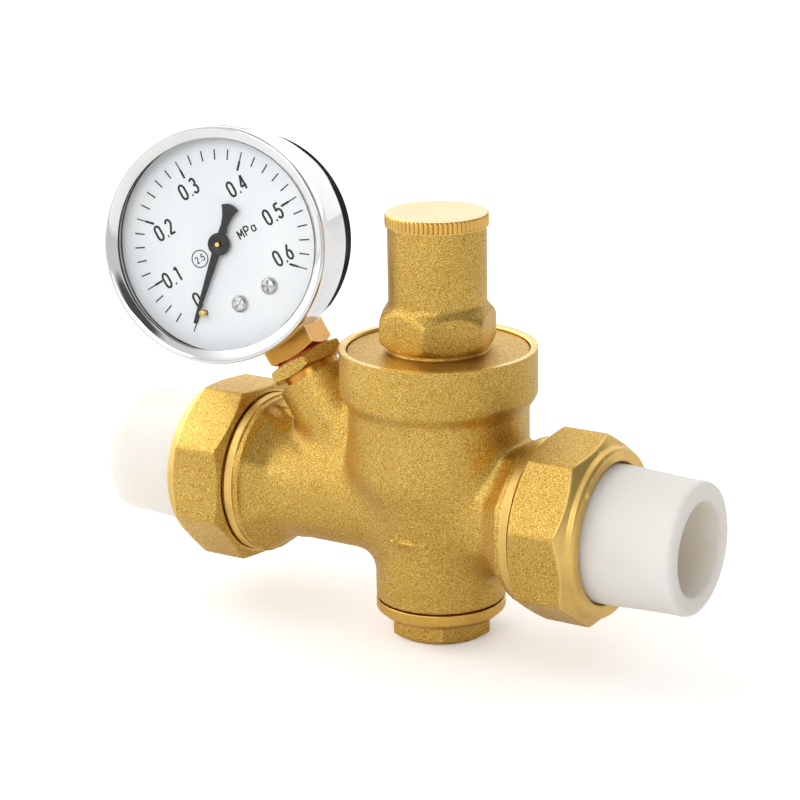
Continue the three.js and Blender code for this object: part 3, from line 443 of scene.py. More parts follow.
class Recipe:
    """A material with a Principled shader, and short ways to add nodes to it."""

    def __init__(self, name, colour, metallic=0.0, roughness=0.5):
        self.material = bpy.data.materials.new(name)
        self.material.use_nodes = True
        self.tree = self.material.node_tree
        self.shader = self.tree.nodes["Principled BSDF"]
        self.set("Base Color", (*colour, 1))
        self.set("Metallic", metallic)
        self.set("Roughness", roughness)

    def set(self, socket, value):
        self.shader.inputs[socket].default_value = value

    def add(self, kind, inputs=(), **settings):
        return add_node(self.tree, kind, inputs, **settings)

    def place(self):
        return self.add("TexCoord").outputs["Object"]

    def noise(self, scale, detail=2.0, roughness=0.55, vector=None):
        inputs = {"Vector": vector or self.place(), "Scale": scale, "Detail": detail, "Roughness": roughness}
        return self.add("TexNoise", inputs).outputs["Fac"]

    def ramp(self, factor, stops):
        """Stops are (position, grey or colour)."""
        node = self.add("ValToRGB", {"Fac": factor})
        elements = node.color_ramp.elements
        while len(elements) < len(stops):
            elements.new(0.5)
        for element, (position, value) in zip(elements, stops):
            element.position = position
            rgb = (value,) * 3 if isinstance(value, (int, float)) else value
            element.color = (*rgb, 1)
        return node.outputs["Color"]

    def mix(self, factor, first, second, how="MIX"):
        node = self.add("Mix", data_type="RGBA", blend_type=how, clamp_result=True)
        for index, value in ((0, factor), (6, first), (7, second)):
            if isinstance(value, bpy.types.NodeSocket):
                self.tree.links.new(value, node.inputs[index])
            else:
                node.inputs[index].default_value = value if isinstance(value, (int, float)) else (*value, 1)
        return node.outputs[2]

    def edges(self, low=0.51, high=0.58):
        """1 along outer edges, 0 elsewhere."""
        point = self.add("NewGeometry").outputs["Pointiness"]
        return self.ramp(point, [(low, 0.0), (high, 1.0)])

    def bump(self, height, distance, strength=1.0, below=None):
        inputs = {"Height": height, "Distance": distance, "Strength": strength}
        if below:
            inputs["Normal"] = below
        return self.add("Bump", inputs).outputs["Normal"]

    def use(self, socket, value):
        self.tree.links.new(value, self.shader.inputs[socket])

    def vary(self, colour, roughness, relief):
        """Colour, roughness and relief that each follow a noise. Its settings come first in each."""
        self.use("Base Color", self.ramp(self.noise(*colour[0]), colour[1]))
        self.use("Roughness", self.ramp(self.noise(*roughness[0]), roughness[1]))
        self.use("Normal", self.bump(self.noise(*relief[0]), *relief[1:]))
        return self.material


def tone(*display):
    """A display colour of 0 to 255, none of them dark, as the linear colour that shaders take."""
    return tuple(((value / 255 + 0.055) / 1.055) ** 2.4 for value in display)


def blasted_brass():
    """Sand-blasted brass: pale gold with a fine even grain, brighter where edges are rubbed."""
    recipe = Recipe("blasted_brass", tone(214, 172, 84), 1.0, 0.45)
    grain = recipe.noise(6200, 1.0, 0.5)
    patches = recipe.noise(60, 3.0)
    golds = [(0.33, tone(153, 108, 30)), (0.5, tone(216, 172, 73)), (0.67, tone(255, 232, 152))]
    shade = recipe.ramp(patches, [(0.3, tone(240, 237, 230)), (0.7, tone(255, 255, 255))])
    colour = recipe.mix(1.0, recipe.ramp(grain, golds), shade, "MULTIPLY")
    worn = recipe.mix(recipe.edges(0.54, 0.7), colour, tone(240, 206, 126))
    recipe.use("Base Color", worn)
    recipe.use("Roughness", recipe.ramp(recipe.noise(2600, 2.0), [(0.3, 0.35), (0.7, 0.46)]))
    relief = recipe.bump(grain, 0.00006, 0.85)
    recipe.use("Normal", recipe.bump(recipe.noise(2600, 2.0), 0.00004, 0.2, relief))
    return recipe.material


def turned_brass(name, place, colour, roughness, tarnished=0.72):
    """Bright brass off a lathe: fine lines round the axis of its place, slight tarnish."""
    recipe = Recipe(name, tone(*colour), 1.0, roughness)
    rotation = place.to_quaternion().inverted().to_euler()
    origin = place.translation
    moved = recipe.add("VectorMath", {0: recipe.place(), 1: tuple(-origin)}, operation="ADD").outputs[0]
    inputs = {"Vector": moved, "Rotation": tuple(rotation)}
    local = recipe.add("VectorRotate", inputs, rotation_type="EULER_XYZ").outputs["Vector"]
    split = recipe.add("SeparateXYZ", {"Vector": local}).outputs
    flat = recipe.add("CombineXYZ", {"X": split["X"], "Y": split["Y"]}).outputs[0]
    reach = recipe.add("VectorMath", {0: flat}, operation="LENGTH").outputs["Value"]
    lines = recipe.add("CombineXYZ", {"X": reach, "Y": split["Z"]}).outputs[0]
    cut = recipe.noise(6000, 2.0, 0.6, lines)
    tarnish = recipe.noise(140, 4.0, 0.6)
    deep = tuple(c * tarnished for c in tone(*colour))
    metal = recipe.ramp(tarnish, [(0.3, deep), (0.62, tone(*colour))])
    recipe.use("Base Color", recipe.mix(recipe.edges(), metal, tone(255, 226, 150)))
    recipe.use("Roughness", recipe.ramp(tarnish, [(0.3, roughness + 0.12), (0.7, roughness)]))
    recipe.use("Normal", recipe.bump(cut, 0.00002, 0.35))
    return recipe.material


def plain_steel():
    recipe = Recipe("steel", (0.62, 0.62, 0.63), 1.0, 0.25)
    brushed = recipe.noise(1800, 3.0)
    grey = recipe.ramp(brushed, [(0.3, 0.5), (0.7, 0.68)])
    recipe.use("Roughness", recipe.ramp(brushed, [(0.3, 0.2), (0.7, 0.36)]))
    recipe.use("Base Color", recipe.mix(recipe.edges(), grey, (0.85, 0.85, 0.86)))
    recipe.use("Normal", recipe.bump(brushed, 0.00001, 0.3))
    return recipe.material


def pipe_plastic():
    """Milky warm white plastic with a faint moulded skin."""
    recipe = Recipe("ppr_plastic", tone(240, 236, 230), 0.0, 0.38)
    recipe.set("Subsurface Weight", 0.8)
    recipe.set("Subsurface Radius", (1.0, 0.85, 0.7))
    recipe.set("Subsurface Scale", 0.01)
    recipe.set("IOR", 1.49)
    colours = [(0.3, tone(231, 226, 219)), (0.7, tone(238, 234, 228))]
    roughness = [(0.3, 0.32), (0.7, 0.44)]
    return recipe.vary(((45, 2.0), colours), ((260, 3.0), roughness), ((1300, 2.0), 0.00003, 0.12))


def window_glass():
    """Clear pane. Lamps shine through it, so the dial behind it stays lit."""
    recipe = Recipe("lens_glass", (1, 1, 1), 0.0, 0.0)
    recipe.set("Transmission Weight", 1.0)
    recipe.set("IOR", 1.2)
    haze = recipe.ramp(recipe.noise(120, 3.0), [(0.4, 0.0), (0.9, 0.03)])
    recipe.use("Roughness", haze)
    clear = recipe.add("BsdfTransparent")
    shadow = recipe.add("LightPath").outputs["Is Shadow Ray"]
    either = recipe.add("MixShader", {0: shadow, 1: recipe.shader.outputs[0], 2: clear.outputs[0]})
    output = recipe.tree.nodes["Material Output"]
    recipe.tree.links.new(either.outputs[0], output.inputs["Surface"])
    return recipe.material


def black_paint(name, roughness):
    recipe = Recipe(name, (0.012, 0.012, 0.013), 0.0, roughness)
    speckle = (1500, 3.0)
    rough = [(0.3, roughness), (0.7, roughness + 0.12)]
    return recipe.vary((speckle, [(0.3, 0.009), (0.75, 0.022)]), (speckle, rough), (speckle, 0.00001, 0.25))


BLASTED = blasted_brass()
TURNED_UPRIGHT = turned_brass("turned_brass_valve", UPRIGHT, (232, 188, 96), 0.22, 0.8)
TURNED_PIPE = turned_brass("turned_brass_pipe", AT_INLET, (238, 200, 116), 0.32, 0.85)
TURNED_STEM = turned_brass("turned_brass_stem", ON_STEM, (216, 158, 72), 0.24, 0.85)
TURNED_DIAL = turned_brass("turned_brass_gauge", ON_DIAL, (222, 182, 96), 0.25)
# The cap's top face gets its own paler brass: painted light, standing in for the bright light that falls on
# the top from above.
CAP_TOP_PAINTED_LIGHT = turned_brass("cap_top_painted_sky_light", UPRIGHT, (247, 228, 184), 0.34, 0.95)
CHROME = Recipe("chrome", (0.86, 0.87, 0.88), 1.0, 0.05).vary(
    ((90, 3.0), [(0.3, (0.80, 0.81, 0.83)), (0.7, (0.9, 0.9, 0.9))]),
    ((90, 3.0), [(0.35, 0.035), (0.75, 0.12)]),
    ((300, 2.0), 0.00001, 0.12),
)
STEEL = plain_steel()
PLASTIC = pipe_plastic()
RUBBER = Recipe("rubber", (0.02, 0.02, 0.021), 0.0, 0.7).vary(
    ((500, 4.0), [(0.35, 0.012), (0.75, 0.035)]),
    ((500, 4.0), [(0.3, 0.6), (0.7, 0.82)]),
    ((2400, 3.0), 0.00003, 0.4),
)
FIBRE = Recipe("fibre", tone(196, 84, 34), 0.0, 0.75).vary(
    ((2200, 5.0, 0.7), [(0.3, tone(196, 66, 26)), (0.7, tone(244, 118, 54))]),
    ((2200, 5.0, 0.7), [(0.3, 0.65), (0.7, 0.85)]),
    ((2200, 5.0, 0.7), 0.00004, 0.5),
)
GLASS = window_glass()
ENAMEL = Recipe("dial_white", tone(244, 248, 251), 0.0, 0.5).vary(
    ((60, 2.0), [(0.3, tone(240, 245, 249)), (0.7, tone(247, 250, 252))]),
    ((900, 2.0), [(0.3, 0.42), (0.7, 0.55)]),
    ((3000, 2.0), 0.00001, 0.15),
)
INK = black_paint("dial_ink", 0.55)
POINTER_PAINT = black_paint("pointer_paint", 0.38)

# ---- the casting ----

DRUM = Sizes(radius=20.65, foot=24.2, bore=19.1, floor=25.0)
WAIST = Sizes(radius=18.9, top=21.7, foot=10.0)
NECK = Sizes(radius=13.7, top=-6.0)
ARM = Sizes(radius=12.6, bore=8.6, boss=30.0, boss_length=9.0)
COLLAR = Sizes(radius=17.4, width=2.0, gap=0.45, root=15.5)
UNION_THREAD = Sizes(radius=16.05, pitch=2.309, depth=0.8, length=8.2)
STEM_BOSS = Sizes(radius=8.25, top=28.2)
RIB = Sizes(start=25.0, end=41.0, half=1.1, top=15.3)
ARROW = Sizes(angle=3.0, height=-5.0, half=4.2, bar=0.5, head=1.35, rise=0.5)
FILLET = Sizes(arm=4.5, stem=3.2, rib=1.6, pipe=2.6, flare=3.0, arrow=0.25)
SLOPES = [((22, 0), (6, -7), 6.2), ((-24, 0), (-8, 13), 6.6)]  # passages to and from the seat
BORE_ENDS = (16, 20)  # where the two pipe bores stop, from the valve's own axis
SPARE = 0.5  # metal left on the casting where a face is machined


def column_outline():
    """Height and radius of the valve's upright body, from its foot to above the drum."""
    steps = 16
    funnel = []
    for i in range(steps + 1):
        part = i / steps
        radius = NECK.radius + (WAIST.radius - NECK.radius) * (0.5 - 0.5 * cos(pi * part))
        funnel.append((radius, NECK.top + (WAIST.foot - NECK.top) * part))
    corners = [
        (NECK.radius, CASTING_FOOT - 2), *funnel, (WAIST.radius, WAIST.top, 0.9),
        (DRUM.radius, DRUM.foot, 0.9), (DRUM.radius, DRUM_TOP + 2),
    ]
    points = rounded(corners, closed=False, steps=6)
    return np.array([p.y for p in points]), np.array([p.x for p in points])


COLUMN_HEIGHTS, COLUMN_RADII = column_outline()


def column_field(x, y, z):
    side = (np.hypot(x, y) - np.interp(z, COLUMN_HEIGHTS, COLUMN_RADII)) * 0.9
    topped = soft_more(side, z - DRUM_TOP - SPARE, 0.5)
    return soft_more(topped, CASTING_FOOT - z, 0.4)


def boss_field(along, y, z, end):
    """Eight-sided boss for a wrench, running out into the pipe."""
    start = end - ARM.boss_length
    diagonal = sqrt(0.5)
    across = np.maximum(np.abs(y), np.abs(z))
    across = soft_more(across, np.abs(y + z) * diagonal, 1.0)
    across = soft_more(across, np.abs(y - z) * diagonal, 1.0)
    part = np.clip((along - start) / (ARM.boss_length * 0.75), 0, 1)
    low = ARM.radius - 1.6
    half = low + (ARM.boss / 2 - low) * part * part * (3 - 2 * part)
    return soft_more(soft_more(across - half, start - along, 1.0), along - end, 0.4)


def arm_field(x, y, z, side, face):
    along = side * x
    end = face - COLLAR.gap - COLLAR.width + 0.1
    reach = np.hypot(y, z)
    pipe = np.maximum(reach - ARM.radius, np.maximum(along - end, -along))
    flare = np.maximum(reach - COLLAR.radius + 0.5, np.abs(along - end + 0.6) - 0.6)
    return soft_less(soft_less(pipe, boss_field(along, y, z, end), FILLET.pipe), flare, FILLET.flare)


def stem_boss_field(x, y, z):
    along = (x - STEM_FOOT) * sin(STEM_LEAN) + z * cos(STEM_LEAN)
    across = np.hypot((x - STEM_FOOT) * cos(STEM_LEAN) - z * sin(STEM_LEAN), y)
    shaft = soft_more(across - STEM_BOSS.radius, along - STEM_BOSS.top - SPARE, 0.5)
    return np.maximum(shaft, -along)


def rib_field(x, y, z):
    middle = -(RIB.start + RIB.end) / 2
    length = np.abs(x - middle) - (RIB.end - RIB.start) / 2
    sides = soft_more(length, np.abs(y) - RIB.half, 0.8)
    return soft_more(sides, np.abs(z - RIB.top + 4) - 4, 0.8)


def arrow_field(x, y, z):
    """Outline of a plain arrow that points the way the water flows."""
    angle = np.arctan2(x, -y) - radians(ARROW.angle)
    across = angle * (NECK.radius + 1)
    up = z - ARROW.height
    bar = np.maximum(np.abs(across) - ARROW.half, np.abs(up) - ARROW.bar)
    back = across + ARROW.half
    head = np.maximum(np.abs(up) - ARROW.head * back / 2.4 - 0.2, back - 2.4)
    return np.minimum(bar, head) * 0.9


def casting_field(x, y, z):
    body = soft_less(column_field(x, y, z), arm_field(x, y, z, 1, INLET_FACE), FILLET.arm)
    body = soft_less(body, arm_field(x, y, z, -1, OUTLET_FACE), FILLET.arm)
    body = soft_less(body, stem_boss_field(x, y, z), FILLET.stem)
    body = soft_less(body, rib_field(x, y, z), FILLET.rib)
    raised = soft_more(arrow_field(x, y, z), body - ARROW.rise, FILLET.arrow)
    return np.minimum(body, raised)


def threaded_end(place):
    """Turned collar and thread on the end of an arm. Heights start at the nut's face."""
    end = -COLLAR.gap
    tip = UNION_THREAD.length
    outline = [
        (0, end - 6), (ARM.radius - 1, end - 6), (ARM.radius - 1, end - COLLAR.width),
        (COLLAR.radius, end - COLLAR.width, 0.25), (COLLAR.radius, end, 0.25),
        (COLLAR.root, end), (COLLAR.root, end + 0.9), (UNION_THREAD.radius, end + 1.3),
        (UNION_THREAD.radius, tip - 0.8), (COLLAR.root, tip), (0, tip),
    ]
    cut = thread(UNION_THREAD.pitch, UNION_THREAD.depth, end + 1.0, tip)
    shaping = [lambda r, a, h: np.where(r > COLLAR.root + 0.2, cut(r, a, h), r) if h > end + 1 else r]
    return painted(turned("end", place, outline, 144, shaping=shaping, longest=0.3), [TURNED_PIPE])


def body_bore():
    """Everything that is machined along the valve's own axis."""
    foot = CASTING_FOOT
    return turned("bore", UPRIGHT, [
        (0, foot - 2), (11.4, foot - 2), (11.4, foot - 0.1), (10.6, foot + 0.8), (10.6, foot + 8.1),
        (9.5, foot + 8.1), (9.5, 1.0), (7.5, 1.0), (7.5, 7.0), (9.0, 7.0), (15.4, 15.1, 0.8),
        (15.4, DRUM.floor), (DRUM.bore, DRUM.floor), (DRUM.bore, DRUM_TOP - 0.35),
        (DRUM.bore + 0.3, DRUM_TOP), (DRUM.radius + 3, DRUM_TOP),
        (DRUM.radius + 3, DRUM_TOP + 3), (0, DRUM_TOP + 3),
    ], 144)


def ball_ended(name, start, end, radius):
    """A round passage in the XZ plane, with a ball at each end."""
    axis = Vector((end[0] - start[0], 0, end[1] - start[1]))
    quarter = [pi / 2 * i / 8 for i in range(9)]
    lower = [(radius * sin(t), -radius * cos(t)) for t in quarter]
    upper = [(radius * cos(t), axis.length + radius * sin(t)) for t in quarter]
    turn = Vector((0, 0, 1)).rotation_difference(axis).to_matrix().to_4x4()
    place = METRES @ shifted(start[0], 0, start[1]) @ turn
    upper[-1] = (0, upper[-1][1])
    return turned(name, place, lower + upper, 48)


def gauge_tapping():
    top = STEM_BOSS.top
    return turned("tapping", ON_STEM, [
        (0, 5), (2, 5), (2, 17.5), (4.9, 17.5), (4.9, top - 0.4), (5.3, top),
        (STEM_BOSS.radius + 1.6, top), (STEM_BOSS.radius + 1.6, top + 3), (0, top + 3),
    ], 96)


def casting():
    margin = 1.5
    low = (-OUTLET_FACE, -DRUM.radius - margin, CASTING_FOOT - margin)
    high = (INLET_FACE, DRUM.radius + margin, DRUM_TOP + margin)
    body = painted(skin("valve_casting", UPRIGHT, casting_field, low, high, SKIN_STEP), [BLASTED])
    for place in (AT_INLET, AT_OUTLET):
        combine(body, threaded_end(place), "UNION")
    combine(body, painted(body_bore(), [TURNED_UPRIGHT]))
    bores = ((AT_INLET, INLET_FACE, BORE_ENDS[0]), (AT_OUTLET, OUTLET_FACE, BORE_ENDS[1]))
    for place, face, depth in bores:
        bore = rod("bore", place, ARM.bore, depth - face, UNION_THREAD.length + 2, 64)
        combine(body, painted(bore, [TURNED_PIPE]))
    for start, end, radius in SLOPES:
        combine(body, painted(ball_ended("slope", start, end, radius), [BLASTED]))
    combine(body, painted(gauge_tapping(), [TURNED_STEM]))
    stands_for(body, "root", "cast_brass", "valve_body")


# ---- spring housing, cap and plug ----


def bonnet():
    low, top = span("spring_bonnet", 2)
    hex_corner = 11 / cos(pi / 6)
    outline = [
        (8.5, low + 4.9), (12.2, low + 4.9), (14.4, low + 2.2), (14.4, low), (18.55, low),
        (18.95, low + 0.4), (18.95, 33.5, 0.3), (10.4, 33.5, 0.3), (10.3, 34.3, 0.1), (11.0, 34.4, 0.1),
        (hex_corner + 0.1, 36.0, 0.4), (hex_corner + 0.1, 40.1, 0.5), (11.9, 41.6, 0.9),
        (11.0, 42.5, 0.5), (10.2, 43.5, 0.7), (10.2, top, 0.3), (8.7, top), (8.5, top - 0.3),
    ]
    hexagon = flats(6, 22, 16.7, 34.35, 43.2, 0.7)
    piece = turned("spring_housing", UPRIGHT, outline, 192, True, [hexagon], 0.5)
    painted(piece, [BLASTED, TURNED_UPRIGHT], UPRIGHT, lambda r, h: (r < 9) | (h > top - 0.1))
    stands_for(piece, "root", "cast_brass", "spring_bonnet")


def cap():
    low, top = span("adjuster_cap", 2)
    rim = 10.67
    face = low + 3.4
    outline = [
        (0, low), (7.9, low), (8.1, low + 0.3), (8.1, face), (10.27, face), (10.27, face - 0.32, 0.05),
        (rim - 0.08, face - 0.32, 0.08), (rim - 0.02, face + 0.02), (rim, face + 0.2, 0.1),
        (rim, top - 0.3, 0.12), (rim - 0.3, top, 0.12), (0, top),
    ]
    teeth = knurl(66, 0.32, face + 0.05, top - 0.12)
    piece = turned("knurled_cap", UPRIGHT, outline, 528, False, [teeth], 0.6, sharp=50)
    # The top face takes the paler brass, which is painted light from above.
    painted(piece, [TURNED_UPRIGHT, CAP_TOP_PAINTED_LIGHT], UPRIGHT, lambda r, h: h > top - 0.02)
    stands_for(piece, "cap", "turned_brass", "adjuster_cap")


def cap_washer():
    sizes = (8.7, 9.9, *span("cap_seal", 2), 0.08)
    washer("cap_washer", UPRIGHT, sizes, RUBBER, "cap_ring", "rubber", "cap_seal")


def plug():
    foot, top = span("bottom_plug", 2)
    flange_top = CASTING_FOOT - 0.3
    hex_corner = 10.15 / cos(pi / 6)
    outline = [
        (0, foot), (9.7, foot, 0.2), (hex_corner + 0.1, foot + 1.4, 0.4),
        (hex_corner + 0.1, -24.4, 0.2), (13.75, -22.7, 0.25), (13.8, flange_top, 0.2),
        (10.1, flange_top), (10.1, CASTING_FOOT + 6.2), (9.5, CASTING_FOOT + 7),
        (5.4, CASTING_FOOT + 7), (5, top - 0.4), (4.6, top), (2.5, top), (2.5, CASTING_FOOT + 1),
        (0, CASTING_FOOT + 1),
    ]
    hexagon = flats(6, 20.3, 32, foot - 1, -24.2, 0.4)
    screw = thread(1.5, 0.45, flange_top + 1, CASTING_FOOT + 6.2)

    def screwed(radius, angle, height):
        return screw(radius, angle, height) if height > flange_top + 1 and radius.max() > 9.9 else radius

    piece = turned("closing_plug", UPRIGHT, outline, 192, False, [hexagon, screwed], 0.3)
    painted(piece, [BLASTED, TURNED_UPRIGHT], UPRIGHT, lambda r, h: h > -24.3)
    stands_for(piece, "plug", "turned_brass", "bottom_plug")


def plug_seal():
    sizes = (10.5, 12.5, *span("plug_washer", 2), 0.08)
    washer("plug_seal", UPRIGHT, sizes, FIBRE, "plug_ring", "fibre", "plug_washer")


# ---- unions. Heights start at the outer face of each nut ----

NUT = Sizes(across=37.3, length=14.6, cone=11.2, step=12.2, bore=16.9, neck=14.8)
TAIL = Sizes(start=10.2, length=33.99, flange=15.9, bore=6.6, socket=9.55, depth=14.5)
FACE_SEAL = (9.2, 15.8, 8.4, 10.1, 0.2)


def union_nut(name, place, corner, body, node):
    """A nut with eight flats. One corner is at an angle from the front."""
    across, length, cone = NUT.across, NUT.length, NUT.cone
    corners = across / 2 / cos(pi / 8) + 0.05
    outline = [
        (17.0, 0.6), (17.5, 0.0), (17.9, 0.0, 0.15), (corners, 1.25, 0.25), (corners, cone, 0.3),
        (17.75, 12.9, 0.2), (17.65, 14.1, 0.15), (17.1, length, 0.15), (15.0, length, 0.1),
        (NUT.neck, length - 0.2), (NUT.neck, NUT.step), (NUT.bore, NUT.step),
    ]
    octagon = flats(8, across, corner, softness=0.35)
    screw = thread(UNION_THREAD.pitch, 0.35, 0.6, 12.0)

    def screwed(radius, angle, height):
        return screw(radius, angle, height) if 0.6 < height < 12.1 and radius.max() < 17.2 else radius

    def machined(radius, height):
        turned_cone = (height > cone + 0.1) & (radius > across / 2 + 0.9 - (height - cone) * 1.4)
        return (height < 0.05) | (radius < 17.2) | (height > 12.7) | turned_cone

    piece = turned(name, place, outline, 256, True, [octagon, screwed], 0.3)
    painted(piece, [BLASTED, TURNED_PIPE], place, machined)
    stands_for(piece, body, "cast_brass", node)


def union_tail(name, place, body, node):
    """A flanged pipe tail with a socket at its far end."""
    start, length, flange = TAIL.start, TAIL.length, TAIL.flange
    bottom = length - TAIL.depth
    outline = [
        (TAIL.bore, start, 0.2), (flange, start, 0.2), (flange, start + 1.8, 0.2),
        (14.35, start + 1.8), (14.35, 17.0), (13.98, 23.0), (13.75, 29.0), (13.72, length, 1.25),
        (9.75, length, 0.7), (TAIL.socket, bottom, 0.4), (TAIL.bore, bottom, 0.3),
    ]
    fitted(turned(name, place, outline, 128, True, longest=2.0), [PLASTIC], body, "ppr_plastic", node)


# ---- the gauge's foot ----

GAP = 0.05
FOOT = Sizes(bottom=33.5, across=11.2)


def adapter():
    bottom, top = 30.0, 33.0
    corners = 8 / cos(pi / 6) + 0.05
    seat = STEM_BOSS.top + 0.4
    outline = [
        (0, 19), (4.2, 19), (4.6, 19.4), (4.6, seat), (6.1, seat, 0.1), (6.1, bottom),
        (7.8, bottom, 0.15), (corners, bottom + 0.6, 0.15), (corners, top - 0.6, 0.15),
        (7.8, top, 0.15), (3.4, top), (3.2, top - 0.2), (3.2, 21.9), (2, 21.9), (2, 20), (0, 20),
    ]
    hexagon = flats(6, 16, 35.7, bottom - 0.01, top + 0.01, 0.25)
    piece = turned("adapter_bush", ON_STEM, outline, 192, False, [hexagon], 0.25)
    materials = [BLASTED, TURNED_STEM]
    painted(piece, materials, ON_STEM, lambda r, h: (h < bottom + 0.02) | (h > top - 0.02) | (r < 7))
    stands_for(piece, "root", "turned_brass", "gauge_adapter")


def adapter_rings():
    low = STEM_BOSS.top + GAP
    below = (4.9, 7.6, low, low + 0.3, 0.08)
    above = (3.1, 6.2, 33.05, FOOT.bottom - GAP, 0.12)
    washer("bush_washer", ON_STEM, below, TURNED_STEM, "root", "fibre", "adapter_washer")
    washer("foot_seal", ON_STEM, above, FIBRE, "root", "fibre", "gauge_seal")


def block():
    foot, across = FOOT.bottom, FOOT.across
    reach = DIAL_REACH - CASE.radius + 4
    outline = [
        (0, 24), (2.6, 24), (2.8, 24.2), (2.8, foot), (across / 2 - 0.1, foot, 0.1),
        (across / 2 + 2.4, foot + 0.9, 0.1), (across / 2 + 2.4, reach), (0, reach),
    ]
    square = flats(4, across, 45, foot - 0.1, reach + 1, 0.25)
    piece = turned("gauge_foot", ON_GAUGE, outline, 192, False, [square], 0.4)
    space = turned("space", ON_DIAL, [*case_outline(GAP)[:-1], (CASE.radius + GAP, 20), (0, 20)], 160)
    combine(piece, space)
    head_shape = [(0, -4), (7.4, -4, 0.3), (7.4, 3, 0.3), (0, 3)]
    place = ON_GAUGE @ shifted(z=DIAL_REACH - 16.2)
    head = turned("head", place, head_shape, 96, False, [flats(4, 9, 45)], 1.0)
    post = rod("post", ON_GAUGE, 4.2, foot + 1, DIAL_REACH - 18, 64)
    combine(piece, combine(post, head, "UNION"), "UNION")
    combine(piece, rod("port", ON_GAUGE, 1, 23, DIAL_REACH - 14, 32))
    fitted(piece, [TURNED_STEM], "root", "turned_brass", "gauge_block")


# ---- the gauge. X is the dial's right, Y is up, Z points out of the dial ----

CASE = Sizes(radius=24.0, wall=0.9, rim=11.8, taper=-0.7, back_radius=22.75, back=-8.3)
PANE = Sizes(radius=23.5, back=12.42, front=13.4)
WINDOW_SEAL = (22.6, 23.05, 11.85, 12.35, 0.1)
BEZEL = Sizes(outer=25.06, opening=22.3, front=14.85, lip=13.7, skirt=11.2)
DIAL = Sizes(radius=22.9, face=9.8, thickness=0.6)
TICKS = Sizes(outer=19.84, minor=2.2, major=4.0, spacing=9.0, first=-135.0, zero=-130.0)
PRINT_RISE, PRINT_SINK = 0.05, 0.02
CLASS_MARK = (-5.9, -0.3)
NUMERALS = [
    ("0", -11.0, -7.5), ("0.1", -13.5, -0.5), ("0.2", -9.8, 8.9), ("0.3", -0.4, 13.5),
    ("0.4", 9.4, 8.6), ("0.5", 13.4, -0.45), ("0.6", 10.9, -8.9),
]
DIAL_SCREWS = [(-2.85, -12.9, 20.0), (4.9, -12.9, 62.0)]
STOP_PIN = (-10.75, -10.65)
POINTER_REST = 130.3


def case_outline(grown=0.0):
    """The outside of the case from its back to its rim. The back part tapers."""
    radius, back = CASE.radius + grown, CASE.back - grown
    return [
        (0, back), (CASE.back_radius + grown, back, 1.6), (radius, CASE.taper, 0.1),
        (radius, CASE.rim, 0.15),
    ]


def case():
    wall = CASE.wall
    inside = [
        (CASE.radius - wall, CASE.rim, 0.15), (CASE.radius - wall, CASE.taper, 0.1),
        (CASE.back_radius - wall, CASE.back + wall, 1.2), (0, CASE.back + wall),
    ]
    piece = turned("gauge_shell", ON_DIAL, case_outline() + inside, 192)
    hole = rod("hole", ON_GAUGE @ shifted(z=DIAL_REACH - CASE.radius - 5), 4.5, 0, 10, 64)
    combine(piece, hole)
    fitted(piece, [CHROME], "root", "chrome", "gauge_case")


def bezel():
    outer, front = BEZEL.outer, BEZEL.front
    outline = [
        (24.3, BEZEL.skirt, 0.1), (outer - 0.05, BEZEL.skirt, 0.3), (outer, front - 0.35, 0.35),
        (outer - 0.55, front, 0.35), (outer - 1.5, front - 0.35, 0.5),
        (BEZEL.opening + 0.3, BEZEL.lip + 0.1, 0.2), (BEZEL.opening, BEZEL.lip - 0.2, 0.1),
        (24.3, BEZEL.lip - 0.25, 0.1),
    ]
    fitted(turned("bezel_ring", ON_DIAL, outline, 256, True), [CHROME], "root", "chrome", "gauge_bezel")


def lens():
    """The pane and the seal behind it."""
    radius, back, front = PANE.radius, PANE.back, PANE.front
    outline = [(0, back), (radius, back, 0.15), (radius, front, 0.15), (0, front)]
    fitted(turned("gauge_window", ON_DIAL, outline, 192), [GLASS], "root", "lens_glass", "gauge_lens")
    washer("window_seal", ON_DIAL, WINDOW_SEAL, RUBBER, "root", "rubber", "lens_gasket", 160)


def dial_face():
    radius, top = DIAL.radius, DIAL.face
    low = top - DIAL.thickness
    outline = [(0, low), (radius, low, 0.1), (radius, top, 0.15), (0, top)]
    piece = turned("dial_plate", ON_DIAL, outline, 192)
    holes = [(0, 0, 1.6), (*STOP_PIN, 0.6)] + [(x, y, 1.0) for x, y, _ in DIAL_SCREWS]
    for x, y, radius in holes:
        combine(piece, rod("hole", ON_DIAL @ shifted(x, y), radius, top - 2, top + 1, 32, 0.02))
    fitted(piece, [ENAMEL], "root", "dial_white", "gauge_dial")


def bar(angle, inner, outer, width):
    """A straight mark on the dial, at an angle in degrees clockwise from the top."""
    place = ON_DIAL @ spun(-angle)
    corners = [(-width / 2, inner), (width / 2, inner), (width / 2, outer), (-width / 2, outer)]
    return slab("mark", place, corners, DIAL.face - PRINT_SINK, DIAL.face + PRINT_RISE)


def scale_marks():
    """A thin mark on each division. Every fifth is longer, and thick along its inner half."""
    outer = TICKS.outer
    marks = []
    for index in [0, *range(2, 31)]:
        angle = TICKS.first + TICKS.spacing * index if index else TICKS.zero
        if index % 5:
            marks.append(bar(angle, outer - TICKS.minor, outer, 0.28))
        else:
            marks.append(bar(angle, outer - TICKS.major / 2, outer, 0.24))
            marks.append(bar(angle, outer - TICKS.major, outer - TICKS.major / 2, 0.46))
    return marks


ARC_STEPS = 14


def arc(x, y, wide, tall, start, end):
    """Points on part of an ellipse, with angles in degrees."""
    turns = [radians(start + (end - start) * i / ARC_STEPS) for i in range(ARC_STEPS + 1)]
    return [(x + wide * cos(t), y + tall * sin(t)) for t in turns]


